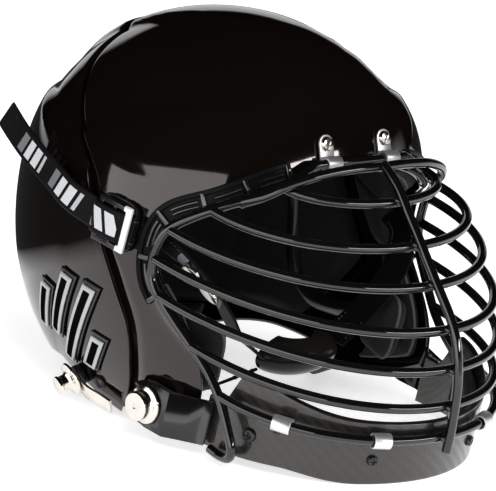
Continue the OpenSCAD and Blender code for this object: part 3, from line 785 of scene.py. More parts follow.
# Sizes and colours that a user may change
class HelmetSizes(bpy.types.PropertyGroup):
    """Sizes of the helmet's visible details."""

    edge_round: FloatProperty(
        name="Shell edge", description="Rounding of the shells' cut edges", default=0.0009,
        min=0.0003, max=0.0014, subtype="DISTANCE", unit="LENGTH", precision=4)
    wire_radius: FloatProperty(
        name="Wire radius", description="Radius of the coated mask wires", default=0.0029,
        min=0.0025, max=0.0031, subtype="DISTANCE", unit="LENGTH", precision=4)
    wire_sides: IntProperty(
        name="Wire sides", description="Facets round each wire", default=16, min=8, max=32)
    rung_gap: FloatProperty(
        name="Rung gap", description="Distance between the rungs of the face trim",
        default=0.028, min=0.012, max=0.05, subtype="DISTANCE", unit="LENGTH", precision=4)
    stitch_gap: FloatProperty(
        name="Stitch gap", description="Distance between stitches on the webbing",
        default=0.0028, min=0.002, max=0.006, subtype="DISTANCE", unit="LENGTH", precision=4)
    tow_width: FloatProperty(
        name="Tow width", description="Width of a tow in the chin guard's twill",
        default=0.0024, min=0.001, max=0.004, subtype="DISTANCE", unit="LENGTH", precision=4)
    pad_crown: FloatProperty(
        name="Pad crown", description="How far the comfort pads bulge", default=0.004,
        min=0.0, max=0.007, subtype="DISTANCE", unit="LENGTH", precision=4)


class HelmetColours(bpy.types.PropertyGroup):
    """Colours of the helmet's main finishes."""

    shell: FloatVectorProperty(
        name="Shell", description="Gloss colour of both shells", subtype="COLOR", size=3,
        min=0, max=1, default=(0.0026, 0.0018, 0.0014))
    webbing: FloatVectorProperty(
        name="Webbing", description="Colour of the straps", subtype="COLOR", size=3,
        min=0, max=1, default=(0.005, 0.0048, 0.0048))
    print: FloatVectorProperty(
        name="Print", description="Colour of the blocks printed on the straps",
        subtype="COLOR", size=3, min=0, max=1, default=(0.62, 0.63, 0.65))
    metal: FloatVectorProperty(
        name="Metal", description="Colour of knobs, clips and snaps", subtype="COLOR", size=3,
        min=0, max=1, default=(0.78, 0.74, 0.68))
    floor: FloatVectorProperty(
        name="Floor", description="Colour of the floor", subtype="COLOR", size=3,
        min=0, max=1, default=(0.9, 0.9, 0.9))


def seam_width(b, v):
    """Width from the seam to another edge curve, in millimetres."""
    return np.maximum(np.linalg.norm(curve(b, v) - curve(SEAM, v), axis=-1), 1)[:, None]


def rounding_steps(radius):
    """Five distances from a cut edge at which its rounding is drawn."""
    return radius * (1 - np.cos(np.linspace(0, math.pi / 2, 5)))


def rounded(distance, radius):
    """Share of the full thickness left at a distance from an edge of that radius."""
    return np.sqrt(np.clip(1 - np.clip(1 - distance / radius, 0, 1) ** 2, 0, 1))


def rim(share, length, radius):
    """Share of the full thickness left at a share of a length that is rounded at both ends."""
    return rounded(np.minimum(share, 1 - share) * length, radius)


def rimmed(length, width, radius, counts):
    """Shares along and across a piece, and the share of its thickness left beside its rim."""
    a = inset_shares(length, radius, counts[0])[:, None]
    b = inset_shares(width, radius, counts[1])[None]
    return a, b, rim(a, length, radius) * rim(b, width, radius)


def sunk(a, b, crown, power=2):
    """How far a pad's face has sunk from its middle, at a and b from -1 to 1."""
    return crown * (1 - (1 - a**power) * (1 - b**power))


def inset_shares(length, radius, count):
    """Shares of a length, close together where both ends are rounded."""
    near = np.minimum(rounding_steps(radius) / length, 0.3)
    return np.concatenate([near, np.linspace(near[-1], 1 - near[-1], count)[1:-1], 1 - near[::-1]])


# Rows along the seam, and columns on the front and the rear shell between their rims
SEAM_ROWS, FRONT_COLUMNS, REAR_COLUMNS = 221, 56, 62


class HELMET_OT_shells(bpy.types.Operator):
    """Front shell with its sunk tongue, and the rear shell that laps over it"""

    bl_idname = "helmet.shells"
    bl_label = "Shells"

    def execute(self, context):
        radius = sizes().edge_round * 1000
        v = inset_shares(SEAM_LENGTH, radius, SEAM_ROWS)
        ends = rim(v[:, None], SEAM_LENGTH, radius)
        inset = rounding_steps(radius)
        width = seam_width(FOOT, v)
        under = np.concatenate([LAP - inset, [9, 7, 5, 3, 1.5, 0]])
        tongue = np.minimum(under / width, 0.2 + under / 30)
        width = seam_width(OPENING, v)
        near, far = np.arange(1, 11) / width, 1 - inset[::-1] / width
        between = np.linspace(0, 1, FRONT_COLUMNS)[1:-1]
        t = np.concatenate([near, mix(near[:, -1:], far[:, :1], between), far], 1)
        edge = np.concatenate([np.broadcast_to(LAP - under, tongue.shape), (1 - t) * width], 1)
        left = ends * rounded(edge, radius)
        sink = WALL + LAP_GAP - LAP_RISE
        walls = []
        for side in (1, -1):
            off = -WALL / 2 + side * (WALL / 2 - radius * (1 - left))
            m = len(under)
            walls.append(np.concatenate([
                patch(SEAM, FOOT, v, tongue, off[:, :m] - sink, 0, SHELL_SLOPE),
                patch(SEAM, OPENING, v, t, off[:, m:], sink, SHELL_SLOPE)], 1))
        skins("front_shell_gloss", [tuple(walls)], shell_black(), "shell",
              stands_for=["front_shell"])
        width = seam_width(FOOT, v)
        inset = np.minimum(inset / width, 0.25)
        between = np.linspace(0, 1, REAR_COLUMNS)[1:-1]
        t = np.concatenate([inset, mix(inset[:, -1:], 1 - inset[:, -1:], between),
                            1 - inset[:, ::-1]], 1)
        left = ends * rim(t, width, radius)
        skins("rear_shell_gloss",
              [tuple(patch(SEAM, FOOT, v, t, LAP_RISE - WALL / 2
                           + side * (WALL / 2 - radius * (1 - left)), 0, SHELL_SLOPE)
                     for side in (1, -1))],
              shell_black(), "shell", stands_for=["rear_shell"])
        return {"FINISHED"}


TRIM_WIDTH = 13


def trim_point(v, t, off):
    """A point of the face trim: v along the opening, t across from its outer rail."""
    o = curve(OPENING, v)
    d = curve(OPENING, v + 0.004) - curve(OPENING, v - 0.004)
    p = on_shell(o)
    outer = p + TRIM_WIDTH * unit(np.cross(shell_normal(p), unit(d)))
    return on_shell(mix(outer, o, np.asarray(t)[..., None]), off)


def trim_walls(v, t, low, high, radius=0.5):
    """A band of the trim between two heights off the shell, with a rounded rim."""
    length, width = OPENING_LENGTH * (v[1] - v[0]), TRIM_WIDTH * (t[1] - t[0])
    a, b, left = rimmed(length, width, radius, (90, 6))
    rows = mix(v[0], v[1], a[:, 0])
    walls = []
    for side in (1, -1):
        off = (high + low) / 2 + side * ((high - low) / 2 - radius * (1 - left))
        walls.append(np.stack([trim_point(rows, np.full(len(rows), mix(t[0], t[1], share)),
                                          off[:, k]) for k, share in enumerate(b[0])], 1))
    return tuple(walls)


class HELMET_OT_trim(bpy.types.Operator):
    """Ladder-like trim beside the face opening: a base, two rails, rungs and ribs"""

    bl_idname = "helmet.trim"
    bl_label = "Face trim"

    def execute(self, context):
        finish = trim_black()
        span = (0.2, 0.452)
        skins("trim_base", mirrored([trim_walls(span, (0, 1), 0.3, 0.9, 0.25)]), finish,
              "shell", stands_for=["face_trim"])
        rails = [trim_walls(span, (0, 0.25), 0.5, 2.6, 0.8),
                 trim_walls(span, (0.84, 1), 0.5, 2.6, 0.8)]
        skins("trim_rails", mirrored(rails), finish, "shell")
        finish = rib_gloss()
        v = np.linspace(*span, 200)
        middle = trim_point(v, np.full(len(v), 0.55), 1.2)
        run = run_lengths(middle)
        count = max(2, round(run[-1] / 1000 / sizes().rung_gap))
        stops = np.linspace(0, run[-1], count + 1)
        spots, ribs = [], []
        for k, stop in enumerate(stops):
            w = np.interp(stop + (1.5 if k == 0 else -1.5), run, v)
            o, far = (trim_point(np.array(w), np.array(t), 1.35) for t in (0.52, 0.9))
            spots.append((o, far - o, shell_normal(o)))
            if k < count:
                for t in (0.44, 0.66):
                    w = np.interp(np.linspace(stop + 5, stops[k + 1] - 5, 24), run, v)
                    ribs.append(trim_point(w, np.full(24, t), 1.3))
        spots += [tuple(flip(q) for q in spot) for spot in spots]
        rods("trim_ribs", ribs + [flip(r) for r in ribs],
             {"Radius": 0.0010, "Sides": 12, "Finish": finish}, "shell")
        scattered("trim_rungs", spots, bar_shape("rung_shape", 0.0115, 0.0032, 0.0026),
                  {"Finish": finish}, "shell")
        return {"FINISHED"}


def small_shape(name, edit):
    """An object of the mesh being edited, to be set at many points and then removed."""
    mesh = bpy.data.meshes.new(name)
    edit.to_mesh(mesh)
    edit.free()
    return placed(name, mesh)


def bar_shape(name, length, width, height):
    """A short bar with rounded corners, lying along X."""
    edit = bmesh.new()
    bmesh.ops.create_cube(edit, size=1)
    bmesh.ops.scale(edit, vec=(length, width, height), verts=edit.verts)
    bmesh.ops.bevel(edit, geom=list(edit.edges), offset=min(width, height) * 0.3, segments=2,
                    affect="EDGES", profile=0.6)
    return small_shape(name, edit)


def bead_shape(name, radius, longer):
    """A smooth bead, that many times longer along X."""
    edit = bmesh.new()
    bmesh.ops.create_icosphere(edit, subdivisions=2, radius=radius)
    bmesh.ops.scale(edit, vec=(longer, 1, 1), verts=edit.verts)
    return small_shape(name, edit)


def rods(name, paths, values, body, stands_for=()):
    """One piece of round rods swept along paths of level millimetre points."""
    return grown(name, path_mesh(name + "_paths", paths), wire_tree(), values, body,
                 stands_for)


def scattered(name, spots, shape, values, body):
    """One piece of a small shape at every spot."""
    made = grown(name, point_mesh(name + "_points", spots), repeat_tree(),
                 {"Shape": shape, **values}, body)
    bpy.data.objects.remove(shape)
    return made


# Pads and liners
CHANNEL_DEPTH, CHANNEL_WIDTH = 2.2, 1.6


def pad_walls(a, b, v, u, outer, inner, clear=None, radius=5.0, crown=2.0, draw=0.03,
              channels=(), counts=(60, 22)):
    """Outer and inner faces of a crowned pad that lies inside the shell.

    v and u are its ranges along and across, or clear is its distance from the first edge.
    draw is how much its middle is narrowed, and channels are the places of its grooves.
    """
    length = np.linalg.norm(np.diff(curve(b, np.linspace(*v, 40)), axis=0), axis=-1).sum()
    a_share = inset_shares(length, radius, counts[0])
    vv = mix(v[0], v[1], a_share)
    gap = np.maximum(np.linalg.norm(curve(b, vv) - curve(a, vv), axis=-1), 1)[:, None]
    first = np.full_like(gap, u[0]) if clear is None else clear / gap
    width = (u[1] - first) * gap
    near = np.minimum(rounding_steps(radius) / width, 0.3)
    b_share = np.concatenate([near, mix(near[:, -1:], 1 - near[:, -1:],
                                        np.linspace(0, 1, counts[1])[1:-1]), 1 - near[:, ::-1]], 1)
    along = (2 * a_share - 1)[:, None]
    over = 2 * b_share - 1
    full = rim(a_share[:, None], length, radius) * rim(b_share, width, radius)
    thin = sunk(along, over, crown)
    for where in channels:
        thin = thin + CHANNEL_DEPTH * np.exp(
            -(((along - where) * length / 2) / CHANNEL_WIDTH) ** 2)
    t = mix(first, u[1], 0.5 + over / 2 * (1 - draw * (1 - along**2)))
    half = (outer - inner - thin) / 2
    middle = outer - half
    return tuple(patch(a, b, vv, t, middle + side * half * full) for side in (1, -1))


def padding(name, pairs, finish, node_name):
    """A padded piece in place of a CAD pad."""
    made = skins(name, pairs, finish, "shell", stands_for=[node_name])
    return made


def block_walls(place, off, size, thin, radius=5.0, draw=0.05, corner=0.36):
    """A crowned block whose back lies towards the shell, as outer and inner faces.

    draw is how much its middle is narrowed, and corner how much its corners are cut.
    """
    n = shell_normal(place)
    o = on_shell(place) + n * off
    e = unit([-n[1], n[0], 0])
    f = np.cross(e, n)
    a, b = (2 * inset_shares(size[k], radius, count) - 1 for k, count in ((1, 30), (2, 34)))
    a, b = a[:, None], b[None]
    full = (rounded((1 - abs(a)) * size[1] / 2, radius)
            * rounded((1 - abs(b)) * size[2] / 2, radius))
    half = (size[0] / 2 - sunk(a, b, thin, 4)) * full
    y = a * size[1] / 2 * (1 - draw * (1 - b**2)) * np.sqrt(1 - corner * b**4)
    z = b * size[2] / 2 * (1 - draw * (1 - a**2)) * np.sqrt(1 - corner * a**4)
    return tuple(o + side * half[..., None] * n + y[..., None] * e + z[..., None] * f
                 for side in (1, -1))


# Depths of the pads' outer faces under the front and the rear shell
IN_FRONT = -WALL - 0.9
IN_REAR = LAP_RISE + IN_FRONT
LINER_THICK = 14
# Path of the padded roll beside each ear
ROLL = np.array([[96, 40, 141], [97, 36, 129], [95, 30, 112], [93, 23, 100], [93, 14, 90],
                 [92, 0, 85], [91, -16, 87], [87, -32, 92], [85, -43, 97]])


def seam_part(start, end):
    """A part of the shell's edge curves, in 44ths of them."""
    return start / 44, end / 44


def rim_path(pair):
    """The loop where the two faces of a pad meet, closed by its first two points."""
    g = pair[0]
    loop = np.concatenate([g[:, 0], g[-1, 1:], g[-2::-1, -1], g[0, -2:0:-1]])
    return np.concatenate([loop, loop[:2]])


class HELMET_OT_liners(bpy.types.Operator):
    """Impact liners under the crown, the sides and the rear"""

    bl_idname = "helmet.liners"
    bl_label = "Impact liners"

    def execute(self, context):
        cloth = liner_cloth()
        side_depth = IN_FRONT - 0.4
        padding("crown_liner_cloth",
                [pad_walls(SEAM, OPENING, seam_part(16, 28), (0, 0.845), IN_FRONT,
                           IN_FRONT - LINER_THICK, clear=LAP, channels=(-0.45, 0.45))],
                cloth, "crown_liner")
        side = [pad_walls(SEAM, OPENING, seam_part(9, 15.9), (0, 0.845), side_depth,
                          side_depth - LINER_THICK, clear=LAP, channels=(0.0,))]
        padding("side_liners_cloth", mirrored(side), cloth, "side_liners")
        padding("rear_liner_cloth",
                [pad_walls(SEAM, FOOT, seam_part(9, 35), (0, 0.9), IN_REAR, IN_REAR - LINER_THICK,
                           clear=14.5, channels=(-0.5, 0.0, 0.5), counts=(110, 30))], cloth,
                "rear_liner")
        return {"FINISHED"}


class HELMET_OT_pads(bpy.types.Operator):
    """Comfort pads with a welt sewn along the rim of each"""

    bl_idname = "helmet.pads"
    bl_label = "Comfort pads"

    def execute(self, context):
        crown = sizes().pad_crown * 1000
        cloth = pad_cloth()
        brow = [pad_walls(SEAM, OPENING, seam_part(15, 29), (0.875, 0.985), IN_FRONT, IN_FRONT - 17,
                          radius=6.5, crown=crown * 0.8, channels=(-0.4, 0.4), counts=(70, 14))]
        padding("brow_pad_cloth", brow, cloth, "brow_pad")
        ears = mirrored([pad_walls(SEAM, OPENING, seam_part(1, 8.8), (0, 0.9), IN_FRONT,
                                   IN_FRONT - 15, clear=LAP, radius=7, crown=crown,
                                   counts=(44, 30))])
        padding("ear_pads_cloth", ears, cloth, "ear_pads")
        nape = [pad_walls(SEAM, FOOT, (0.36, 0.64), (0.915, 0.985), IN_REAR, IN_REAR - 13,
                          radius=4, crown=crown * 0.6, counts=(60, 12))]
        padding("nape_pad_cloth", nape, cloth, "nape_pad")
        jaw = mirrored([block_walls([-99, -78, 104], IN_FRONT - 22.9, (18, 32, 42), 4.5)])
        padding("jaw_pads_cloth", jaw, cloth, "jaw_pads")
        roll = samples(ROLL, 60)
        made = rods("ear_rolls_vinyl", [roll, flip(roll)],
                    {"Radius": 0.0052, "Sides": 20, "Finish": roll_vinyl()}, "shell")
        rods("pad_welts", [rim_path(p) for p in brow + ears + nape + jaw],
             {"Radius": 0.0011, "Sides": 8, "Finish": thread_black()}, "shell")
        return {"FINISHED"}


# Mask: its edge and brow wires, its cross bars, and the profile that their fronts follow
EDGE = samples([
    [-36, -92.5, 226], [-54.5, -91.5, 216.5], [-72.5, -85.5, 207], [-87, -77.5, 199.2],
    [-99.5, -68.2, 190.2], [-107.8, -58.6, 179.4], [-111.2, -54.6, 168.6], [-112.4, -54.2, 156],
    [-111.9, -58.5, 143.4], [-107.5, -73.4, 129.7], [-101.9, -90.8, 116.4], [-99.5, -105, 107],
    [-100, -119, 97], [-100.5, -130, 84], [-100.5, -136.5, 74], [-99.5, -135, 67.5],
    [-98.5, -127, 65], [-98, -118, 65]], 240)
BROW = both_sides([[-80, -82, 202], [-74, -93, 210], [-62, -101, 220], [-42, -107, 227],
                   [-20, -109, 229], [0, -109.5, 229]])
BAR_HEIGHTS = (214, 195, 178, 159, 139, 118, 99)
TOP_BAR_FRONT = -127
PROFILE = np.array([
    [-202.8, 92], [-202.3, 104], [-200.5, 120], [-198, 134], [-192, 150], [-183, 163],
    [-164, 180], [-146, 196.5], [-134, 207], [-121, 218.5], [-107, 226]])
# Each end of a wire's path, and the point beside it that gives the wire's direction
WELD_ENDS = ((0, 4), (-1, -5))


def plan(w, side, front, angle, exponent):
    """Plan of a rounded bar from the right side over the front, as x and y."""
    c, s = np.cos(angle), np.sin(angle)
    return (-w * np.sign(c) * abs(c) ** (2 / exponent),
            side + (front - side) * np.clip(s, 0, 1) ** (2 / exponent))


def bar_points(number, angle):
    """Path of a cross bar, from one edge wire over the front to the other."""
    z = BAR_HEIGHTS[number]
    k = int(np.argmax(EDGE[1:, 2] <= z))
    f = (EDGE[k, 2] - z) / (EDGE[k, 2] - EDGE[k + 1, 2])
    x, y, _ = mix(EDGE[k], EDGE[k + 1], f)
    front = TOP_BAR_FRONT if number == 0 else np.interp(z, PROFILE[:, 1], PROFILE[:, 0])
    px, py = plan(-x, y - WIRE + 0.5, front, angle, 2.05)
    return np.stack([px, py, np.full_like(px, z)], -1)


def centre_points():
    """Path of the centre bar, which lies on the cross bars and ends in a square turn."""
    t = np.linspace(0, 1, 120)
    p, q = curve(PROFILE, t), curve(PROFILE, np.minimum(1, t + 0.04))
    d = unit(np.where((t < 0.98)[:, None], q - p, [13.0, 7]))
    out = 2 * WIRE - 0.2
    return np.stack([0 * t, p[:, 0] - out * d[:, 1], p[:, 1] + out * d[:, 0]], -1)


class HELMET_OT_mask(bpy.types.Operator):
    """Coated mask wires with a fillet of coating at every weld"""

    bl_idname = "helmet.mask"
    bl_label = "Mask wires"

    def execute(self, context):
        turn = np.linspace(0, math.pi, 121)
        bars = [bar_points(k, turn) for k in range(7)]
        edges = np.concatenate([EDGE[::-1], flip(EDGE)])
        brow = samples(BROW, 160)
        middle = centre_points()
        names = ["hinge_wire", "perimeter_wires", "brow_wire", "centre_bar"]
        names += ["bar_%d" % (k + 1) for k in range(7)]
        values = {"Radius": sizes().wire_radius, "Sides": sizes().wire_sides,
                  "Finish": wire_black()}
        rods("mask_wires", [edges, brow, middle] + bars, values, "mask", names)
        spots, upright = [], np.array([0, 0, 1.0])
        for bar in bars:
            for end, inner in WELD_ENDS:
                spots.append((bar[end] + 0.35 * WIRE * unit(bar[inner] - bar[end]),
                              bar[inner] - bar[end], upright))
            cross = bar[60] * [0, 1, 1]
            near = middle[np.argmin(np.linalg.norm(middle - cross, axis=-1))]
            spots.append(((cross + near) / 2, np.array([1.0, 0, 0]), near - cross))
        for end, inner in WELD_ENDS:
            spots.append((brow[end], brow[inner] - brow[end], upright))
        scattered("mask_welds", spots, bead_shape("weld_bead", WIRE / 1000 * 1.02, 1.5),
                  {"Size variation": 0.06, "Finish": wire_black()}, "mask")
        return {"FINISHED"}


# Chin guard
GUARD_LENGTH, GUARD_HEIGHT = 330, 42
# The straight ends of the guard are this share of its length
GUARD_END = 0.06
# Y of its ends, of the start of its curve and of its front, and half its width
GUARD_BACK, GUARD_SIDE, GUARD_FRONT, GUARD_HALF = -104, -112.0, -199, 93.3


def guard_grid(f, h, inset):
    """Points of the guard: f along it, h from its foot to its top, in from its outer face."""
    f, h, inset = np.broadcast_arrays(f, h, inset)
    angle = math.pi * np.clip((f - GUARD_END) / (1 - 2 * GUARD_END), 0, 1)
    x, y = plan(GUARD_HALF - inset, GUARD_SIDE, GUARD_FRONT + inset, angle, 2)
    near = np.minimum(f, 1 - f) / GUARD_END
    y = np.where(near < 1, mix(GUARD_BACK, GUARD_SIDE, near), y)
    low = floor_height(y) + 5.5 * ease((y + 188) / 34)
    # The top rises behind the front and falls again towards the arms
    top = 107.5 + 9 * ease((y + 185) / 55) - 24 * ease((y + 128) / 14)
    return np.stack([x, y, mix(low, top, h)], -1)


def guard_walls(f, h, outer, inner, radius, crown=0.0):
    """Outer and inner faces of a part of the guard, between two depths from its outer face."""
    length, height = GUARD_LENGTH * (f[1] - f[0]), GUARD_HEIGHT * (h[1] - h[0])
    a, b, left = rimmed(length, height, radius, (160, 18))
    half, middle = (inner - outer) / 2, (inner + outer) / 2
    reach = half - min(radius, half) * (1 - left)
    low = sunk(2 * a - 1, 2 * b - 1, crown) / 2
    return tuple(guard_grid(mix(f[0], f[1], a), mix(h[0], h[1], b),
                            middle + side * reach - (low if side > 0 else 0))
                 for side in (-1, 1))


class HELMET_OT_guard(bpy.types.Operator):
    """Chin guard plate in coated twill, with its inner pad"""

    bl_idname = "helmet.guard"
    bl_label = "Chin guard"

    def execute(self, context):
        # The second colour is the painted highlight on the warp tows
        twill = twill_finish("Coated twill", (0.004, 0.0036, 0.0032), (0.009, 0.0082, 0.0076),
                             sizes().tow_width)
        skins("chin_guard_twill", [guard_walls((0, 1), (0, 1), 0, 4, 1.3)], twill, "mask",
              stands_for=["chin_guard"])
        pad = skins("guard_liner_cloth",
                    [guard_walls((0.16, 0.84), (0.14, 0.86), 4.3, 13, 4.2, 1.5)], pad_cloth(),
                    "mask", stands_for=["guard_liner"])
        return {"FINISHED"}


class HELMET_OT_fittings(bpy.types.Operator):
    """Arms, studs, screws, clips and posts, with their cut edges broken"""

    bl_idname = "helmet.fittings"
    bl_label = "Arms, clips and screws"

    def execute(self, context):
        refined("guard_arms_gloss", "guard_arms", plate_black(), "mask", 0.0006, 9)
        refined("guard_clips_silver", "guard_clips", silver_band(), "mask", 0.0004)
        refined("guard_screws_dark", "guard_screws", dark_steel(), "mask", 0.0002)
        refined("arm_studs_steel", "arm_studs", dark_steel(), "shell", 0.0004)
        refined("brow_clips_silver", "brow_clips", silver_band(), "shell", 0.0003)
        refined("brow_screws_silver", "brow_screws", nickel(), "shell", 0.0002)
        refined("strap_posts_dark", "strap_posts", dark_steel(), "shell", 0.0004)
        refined("post_screws_dark", "post_screws", dark_steel(), "shell", 0.0002)
        return {"FINISHED"}


class HELMET_OT_releases(bpy.types.Operator):
    """Pull-off knobs of the guard arms and pull-off snaps of the rear straps"""

    bl_idname = "helmet.releases"
    bl_label = "Knobs and snaps"

    def execute(self, context):
        for side in ("right", "left"):
            for kind in ("knob", "snap"):
                name = "%s_%s" % (side, kind)
                refined(name + "_nickel", name, nickel(), name, 0.0003)
        return {"FINISHED"}


# Straps and buckles
BUCKLE = np.array([-118, -22, 168.0])
BUCKLE_OUT = shell_normal(BUCKLE)
# How far before the buckle's middle the frame's bright front bar begins, in metres
FRONT_BAR = 0.0088
# Height of the strap over the shell at the buckle
STRAP_RISE = 4.4


def at_strap(along):
    """A point of the straight end of the strap in the buckle."""
    rear = unit([BUCKLE_OUT[1], -BUCKLE_OUT[0], 0])
    return on_shell(BUCKLE) + BUCKLE_OUT * STRAP_RISE + along * rear


OUTER = np.array([at_strap(s) for s in (-16, -8, 0, 8, 17)] + [
    [-120.5, 16, 169.5], [-117, 36, 172.5], [-111.5, 56, 173.5], [-107, 76, 176],
    [-104, 92, 180], [-103, 104, 185]])
INNER = np.array([on_shell([-107, -46.5, 165], -10.8), [-94, -56, 160], [-87, -65, 153],
                  [-77.5, -73, 142], [-66, -76, 129], [-52, -75, 113], [-32.6, -75.5, 98.3]])
INNER_FACE = np.array([-0.9, 0.1, -0.5])
LOWER = np.array([[-87, -14, 49], [-82, -24, 50], [-75, -36, 53.5], [-65, -48, 60],
                  [-52, -60, 69], [-27, -75, 85.9]])
STRAP, STRAP_THICK, FOLD_THICK = 19.0, 1.8, 1.6


def stitches(path, side, width, thick, rows, span, gap):
    """Places and turns of stitches in rows along both faces of a strap."""
    along, wide, out = strap_axes(path, side)
    run = run_lengths(path)
    spots = []
    for s in np.arange(span[0] * run[-1], span[1] * run[-1], gap * 1000):
        k = min(int(np.searchsorted(run, s)), len(path) - 1)
        for row in rows:
            for face in (1, -1):
                o = path[k] + wide[k] * row * width / 2 + face * out[k] * (thick / 2 + 0.02)
                spot = (o, along[k], face * out[k])
                spots += [spot, tuple(flip(q) for q in spot)]
    return spots


class HELMET_OT_straps(bpy.types.Operator):
    """Outer, inner and lower webbing straps with their stitching"""

    bl_idname = "helmet.straps"
    bl_label = "Straps"

    def execute(self, context):
        colour, ink = tuple(shades().webbing), tuple(shades().print)
        gap = sizes().stitch_gap
        printed = webbing_finish("Printed webbing", colour, ink, 0.034, 0.134)
        marked = webbing_finish("Marked webbing", colour, tuple(c * 0.55 for c in ink), 0.014,
                                0.056)
        plain = webbing_finish("Plain webbing", colour)
        spots = []
        for name, points, side, width, finish, node_name, spans in (
                ("outer_straps_webbing", OUTER, BUCKLE_OUT, STRAP, printed, "outer_straps",
                 ((0.0, 0.05),)),
                ("inner_straps_webbing", INNER, INNER_FACE, STRAP, marked, "inner_straps",
                 ((0.05, 0.3), (0.82, 0.97))),
                ("lower_straps_webbing", LOWER, np.array([0.5, 0.1, 1]), STRAP * 0.8, plain,
                 "lower_straps", ((0.03, 0.2), (0.85, 0.97)))):
            path = samples(points, 150)
            made = skins(name, mirrored([ribbon(path, side, width, STRAP_THICK)]),
                         finish, "shell", stands_for=[node_name])
            if finish == marked:
                made.data.materials.append(plain)
                for face in made.data.polygons:
                    face.material_index = int(face.normal.x * face.center[0] < 0)
            for span in spans:
                spots += stitches(path, side, width, STRAP_THICK, (-0.72, 0.72), span, gap)
        scattered("strap_stitches", spots, bead_shape("stitch", 0.00032, 2.6),
                  {"Size variation": 0.15, "Finish": thread_black()}, "shell")
        return {"FINISHED"}


class HELMET_OT_buckles(bpy.types.Operator):
    """Serrated buckle bases, their bright frames and the snaps of the inner straps"""

    bl_idname = "helmet.buckles"
    bl_label = "Buckles"

    def execute(self, context):
        refined("buckle_bases_black", "buckle_bases", plate_black(), "shell", 0.0003)
        frames = refined("buckle_frames_bright", "buckle_frames", bright_frame(), "shell", 0.0008)
        frames.data.materials.append(plate_black())
        forward = unit(stand(BUCKLE + [0, -1, 0]) - stand(BUCKLE))
        start = stand(on_shell(BUCKLE)) + forward * FRONT_BAR
        edit = bmesh.new()
        edit.from_mesh(frames.data)
        bmesh.ops.bisect_plane(edit, geom=edit.verts[:] + edit.edges[:] + edit.faces[:],
                               plane_co=start, plane_no=forward)
        for face in edit.faces:
            face.material_index = int((face.calc_center_median() - Vector(start)).dot(forward) < 0)
        edit.to_mesh(frames.data)
        edit.free()
        turn = np.linspace(0, 1, 60)
        fold = curve([[9.3, 5.2], [7.5, 7.6], [3.5, 9.5], [-3, 9.8], [-9, 9.7], [-13.2, 8.6],
                      [-14.6, 6.2], [-15.4, 4.8]], turn)
        side = unit([-BUCKLE_OUT[1], BUCKLE_OUT[0], 0])
        path = on_shell(BUCKLE) + fold[:, :1] * side + fold[:, 1:] * BUCKLE_OUT
        rise = np.gradient(fold, axis=0)
        face = -unit(rise[:, 1:] * side - rise[:, :1] * BUCKLE_OUT)
        skins("buckle_folds_webbing", mirrored([ribbon(path, face, STRAP, FOLD_THICK)]),
              webbing_finish("Printed fold", tuple(shades().webbing), tuple(shades().print),
                             0.004, 0.024), "shell")
        refined("inner_snaps_nickel", "inner_snaps", nickel(), "shell", 0.0004)
        return {"FINISHED"}


# Chin cup
CUP = np.array([0, -74, 95.0])
CUP_LENGTH, CUP_HEIGHT = 90, 36


def cup_walls(outer, inner, radius, crown=0.0):
    """Outer and inner faces of the cup or its pad, between two depths from its outer face."""
    half = (inner - outer) / 2
    a, b, left = rimmed(CUP_LENGTH, CUP_HEIGHT, radius, (60, 26))
    low = sunk(2 * a - 1, 2 * b - 1, crown)
    reach = half - min(radius, half) * (1 - left)
    turn, lean = np.radians(10 + 160 * a), np.radians(-62 + 124 * b)
    walls = []
    for side in (-1, 1):
        s = (outer + inner) / 2 + side * reach - (low if side > 0 else 0) * left
        walls.append(CUP + np.stack([
            -(34 - s) * np.cos(turn) * np.cos(lean), -(20 - s) * np.sin(turn) * np.cos(lean),
            (14 - s) * np.sin(lean) + 0 * turn], -1))
    return tuple(walls)


class HELMET_OT_chin_cup(bpy.types.Operator):
    """Moulded chin cup and the pad inside it"""

    bl_idname = "helmet.chin_cup"
    bl_label = "Chin cup"

    def execute(self, context):
        skins("chin_cup_shell", [cup_walls(0, 2.2, 0.8)], cup_plastic(), "shell",
              stands_for=["chin_cup"])
        pad = skins("chin_cup_pad_cloth", [cup_walls(2.5, 6.5, 2.0, 0.8)], pad_cloth(), "shell",
                    stands_for=["chin_cup_pad"])
        return {"FINISHED"}


# Badges: the Y of each bar, and the heights that it runs between
BADGE_SLOTS = ((-22, 72, 96), (-2, 64, 124), (18, 74, 122), (36, 66, 104))
BADGE_X, BADGE_LEAN = -108, 0.28


def badge_walls(slot_place, width, longer, off, thick, radius):
    """A slanted bar on the shell's side, with a rounded rim."""
    y, z0, z1 = slot_place
    z = np.linspace(z0 - longer, z1 + longer, 5)
    near, far = (np.stack([0 * z + BADGE_X, y + s * width / 2 - (z - 90) * BADGE_LEAN, z], -1)
                 for s in (-1, 1))
    length = z1 - z0 + 2 * longer
    a, b, left = rimmed(length, width, radius, (24, 10))
    half = thick / 2
    reach = half - min(radius, half) * (1 - left)
    return tuple(patch(near, far, a[:, 0], b, off + half + side * reach) for side in (1, -1))


class HELMET_OT_badges(bpy.types.Operator):
    """Raised slanted bars on each side: black base, silver bar, and a black strip of painted shade
    in its slot
    """

    bl_idname = "helmet.badges"
    bl_label = "Side badges"

    def execute(self, context):
        base = LAP_RISE + 0.3
        for name, width, longer, off, thick, finish, stands_for, slot in (
                ("badge_bases_black", 15, 2.5, base, 1.4, badge_black(), ["badge_bases"],
                 "badge"),
                ("badge_bars_silver", 11, 0, base + 1.6, 1.4, badge_silver(), ["badge_bars"],
                 "badge_metal"),
                # Painted shade: a black strip without reflection where each bar's deep slot lies
                ("badge_inlays_black", 5.6, -2.6, base + 2.75, 0.6, badge_slot_shade(), (),
                 "badge")):
            bars = [badge_walls(q, width, longer, off, thick, thick * 0.45)
                    for q in BADGE_SLOTS]
            skins(name, mirrored(bars), finish, "shell", stands_for=stands_for)
        return {"FINISHED"}


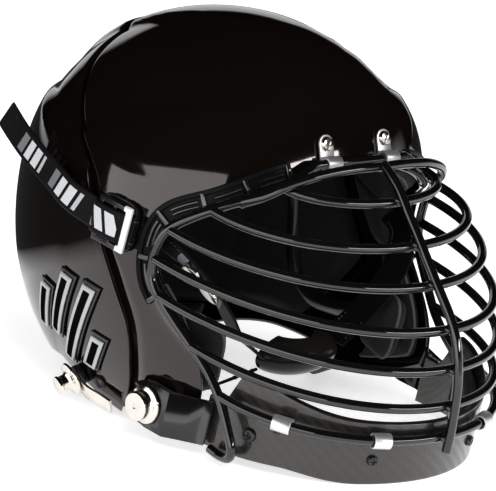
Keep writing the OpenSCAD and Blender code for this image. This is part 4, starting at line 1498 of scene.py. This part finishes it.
# Stage: how far the floor reaches, its glow as it is seen, and the light from all round
FLOOR_REACH, FLOOR_GLOW, SOFT_LIGHT = 30, 0.7, 0.5
# The camera's lens, its azimuth, elevation and roll on the level helmet, and its place
SENSOR, FOCAL_PIXELS, PICTURE_WIDTH = 36, 3000, 496
CAMERA_ANGLES = (-47, 20.5, 13)
CAMERA_TARGET, CAMERA_DISTANCE = [0, -20, 140], 1.8293


def softbox(name, place, target, size, power):
    """An area lamp at a place in metres, aimed at a target."""
    lamp = bpy.data.lights.new(name, "AREA")
    lamp.shape = "RECTANGLE"
    lamp.size, lamp.size_y = size
    lamp.energy = power
    made = placed(name, lamp)
    made.location = place
    made.rotation_euler = (Vector(target) - Vector(place)).to_track_quat("-Z", "Y").to_euler()
    return made


def band(tree, space, axis, start, end, low=0.0, high=1.0):
    """A value that goes from low to high as a coordinate goes from start to end."""
    place = node(tree, "ShaderNodeTexCoord").outputs[space]
    axes = node(tree, "ShaderNodeSeparateXYZ", {0: place})
    return node(tree, "ShaderNodeMapRange", {0: axes.outputs[axis], 1: start, 2: end, 3: low,
                                             4: high}).outputs[0]


def seen_directly(tree):
    """Where a ray comes from the camera, a reflection or through glass."""
    path = node(tree, "ShaderNodeLightPath")
    seen = maths(tree, "MAXIMUM", path.outputs["Is Camera Ray"], path.outputs["Is Glossy Ray"])
    return maths(tree, "MAXIMUM", seen, path.outputs["Is Transmission Ray"])


class HELMET_OT_stage(bpy.types.Operator):
    """Pale floor, studio light, three soft lamps and the camera"""

    bl_idname = "helmet.stage"
    bl_label = "Stage"

    def execute(self, context):
        scene = context.scene
        mesh = bpy.data.meshes.new("floor")
        far = FLOOR_REACH
        mesh.from_pydata([(-far, -far, 0), (far, -far, 0), (far, far, 0), (-far, far, 0)], [],
                         [(0, 1, 2, 3)])
        floor = placed("floor", mesh)
        material, tree, shader = finish_base("Pale floor", Roughness=0.8)
        mesh.materials.append(material)
        # Reflections see a dark strip of the floor behind the helmet
        path = node(tree, "ShaderNodeLightPath")
        strip = maths(tree, "MULTIPLY", band(tree, "Object", 1, 0.24, 0.32),
                      band(tree, "Object", 1, 2.5, 4.5, 1.0, 0.0))
        gap = maths(tree, "MULTIPLY", strip, path.outputs["Is Glossy Ray"])
        tint = mixed(tree, gap, (*shades().floor, 1), (0.02, 0.02, 0.02, 1))
        tree.links.new(tint, shader.inputs["Base Color"])
        tree.links.new(tint, shader.inputs["Emission Color"])
        tree.links.new(maths(tree, "MULTIPLY", seen_directly(tree), FLOOR_GLOW),
                       shader.inputs["Emission Strength"])

        world = bpy.data.worlds.new("Studio")
        world.use_nodes = True
        scene.world = world
        tree = world.node_tree
        tree.nodes.clear()
        # Reflections see white only low in front and low on the far right behind
        front = maths(tree, "MULTIPLY", band(tree, "Generated", 1, -0.1, -0.3),
                      band(tree, "Generated", 2, 0.06, 0.15, 1.0, 0.0))
        behind = maths(tree, "MULTIPLY", band(tree, "Generated", 1, 0.3, 0.5),
                       band(tree, "Generated", 2, 0.24, 0.3, 1.0, 0.0))
        behind = maths(tree, "MULTIPLY", band(tree, "Generated", 0, 0.3, 0.4), behind)
        wall = maths(tree, "MAXIMUM", front, behind)
        path = node(tree, "ShaderNodeLightPath")
        wall = maths(tree, "MAXIMUM", wall, path.outputs["Is Camera Ray"])
        strength = node(tree, "ShaderNodeMix",
                        {0: seen_directly(tree), 2: SOFT_LIGHT, 3: wall}).outputs[0]
        glow = node(tree, "ShaderNodeBackground", {"Strength": strength})
        out = node(tree, "ShaderNodeOutputWorld")
        tree.links.new(glow.outputs[0], out.inputs[0])

        middle = Vector((0, 0, 0.12))
        softbox("softbox_side", (-1.6, -0.1, 0.36), middle, (3.5, 0.7), 21)
        softbox("softbox_front", (0.55, -1.55, 0.5), middle, (1.1, 0.14), 9)
        key = softbox("softbox_key", (-0.6, -1.5, 2.0), middle, (1.6, 1.6), 35)
        key.visible_glossy = False

        lens = bpy.data.cameras.new("Camera")
        lens.lens = SENSOR * FOCAL_PIXELS / PICTURE_WIDTH
        lens.sensor_width = SENSOR
        lens.clip_end = 100
        camera = placed("Camera", lens)
        az, el, roll = (math.radians(d) for d in CAMERA_ANGLES)
        back = Vector((math.sin(az) * math.cos(el), -math.cos(az) * math.cos(el), math.sin(el)))
        level = Vector((math.cos(az), math.sin(az), 0))
        over = back.cross(level)
        right = math.cos(roll) * level + math.sin(roll) * over
        up = -math.sin(roll) * level + math.cos(roll) * over
        turn = Matrix.Rotation(TIP, 3, "X") @ Matrix((right, up, back)).transposed()
        camera.matrix_world = Matrix.Translation(
            Vector(stand(CAMERA_TARGET)) + turn @ Vector((0, 0, CAMERA_DISTANCE))) @ turn.to_4x4()
        scene.camera = camera
        scene.view_settings.view_transform = "Standard"
        return {"FINISHED"}


OPERATORS = (HELMET_OT_shells, HELMET_OT_trim, HELMET_OT_liners, HELMET_OT_pads,
             HELMET_OT_mask, HELMET_OT_guard, HELMET_OT_fittings, HELMET_OT_releases,
             HELMET_OT_straps, HELMET_OT_buckles, HELMET_OT_chin_cup, HELMET_OT_badges,
             HELMET_OT_stage)


class HELMET_PT_pieces(bpy.types.Panel):
    """Lists the helmet's sizes, colours and pieces"""

    bl_idname = "HELMET_PT_pieces"
    bl_label = "Bull riding helmet"
    bl_space_type = "VIEW_3D"
    bl_region_type = "UI"
    bl_category = "Helmet"

    def draw(self, context):
        for values in (context.scene.helmet_sizes, context.scene.helmet_colours):
            column = self.layout.column()
            for key in values.__annotations__:
                column.prop(values, key)
        column = self.layout.column()
        for operator in OPERATORS:
            column.operator(operator.bl_idname)


CLASSES = (HelmetSizes, HelmetColours, *OPERATORS, HELMET_PT_pieces)


def register():
    """Adds the operators, the panel and the helmet's values to Blender."""
    for cls in CLASSES:
        bpy.utils.register_class(cls)
    bpy.types.Scene.helmet_sizes = PointerProperty(type=HelmetSizes)
    bpy.types.Scene.helmet_colours = PointerProperty(type=HelmetColours)


def unregister():
    """Takes them out again."""
    del bpy.types.Scene.helmet_colours
    del bpy.types.Scene.helmet_sizes
    for cls in reversed(CLASSES):
        bpy.utils.unregister_class(cls)


def main():
    """Builds every piece and the stage."""
    register()
    for operator in OPERATORS:
        group, name = operator.bl_idname.split(".")
        getattr(getattr(bpy.ops, group), name)()


if __name__ == "__main__":
    main()
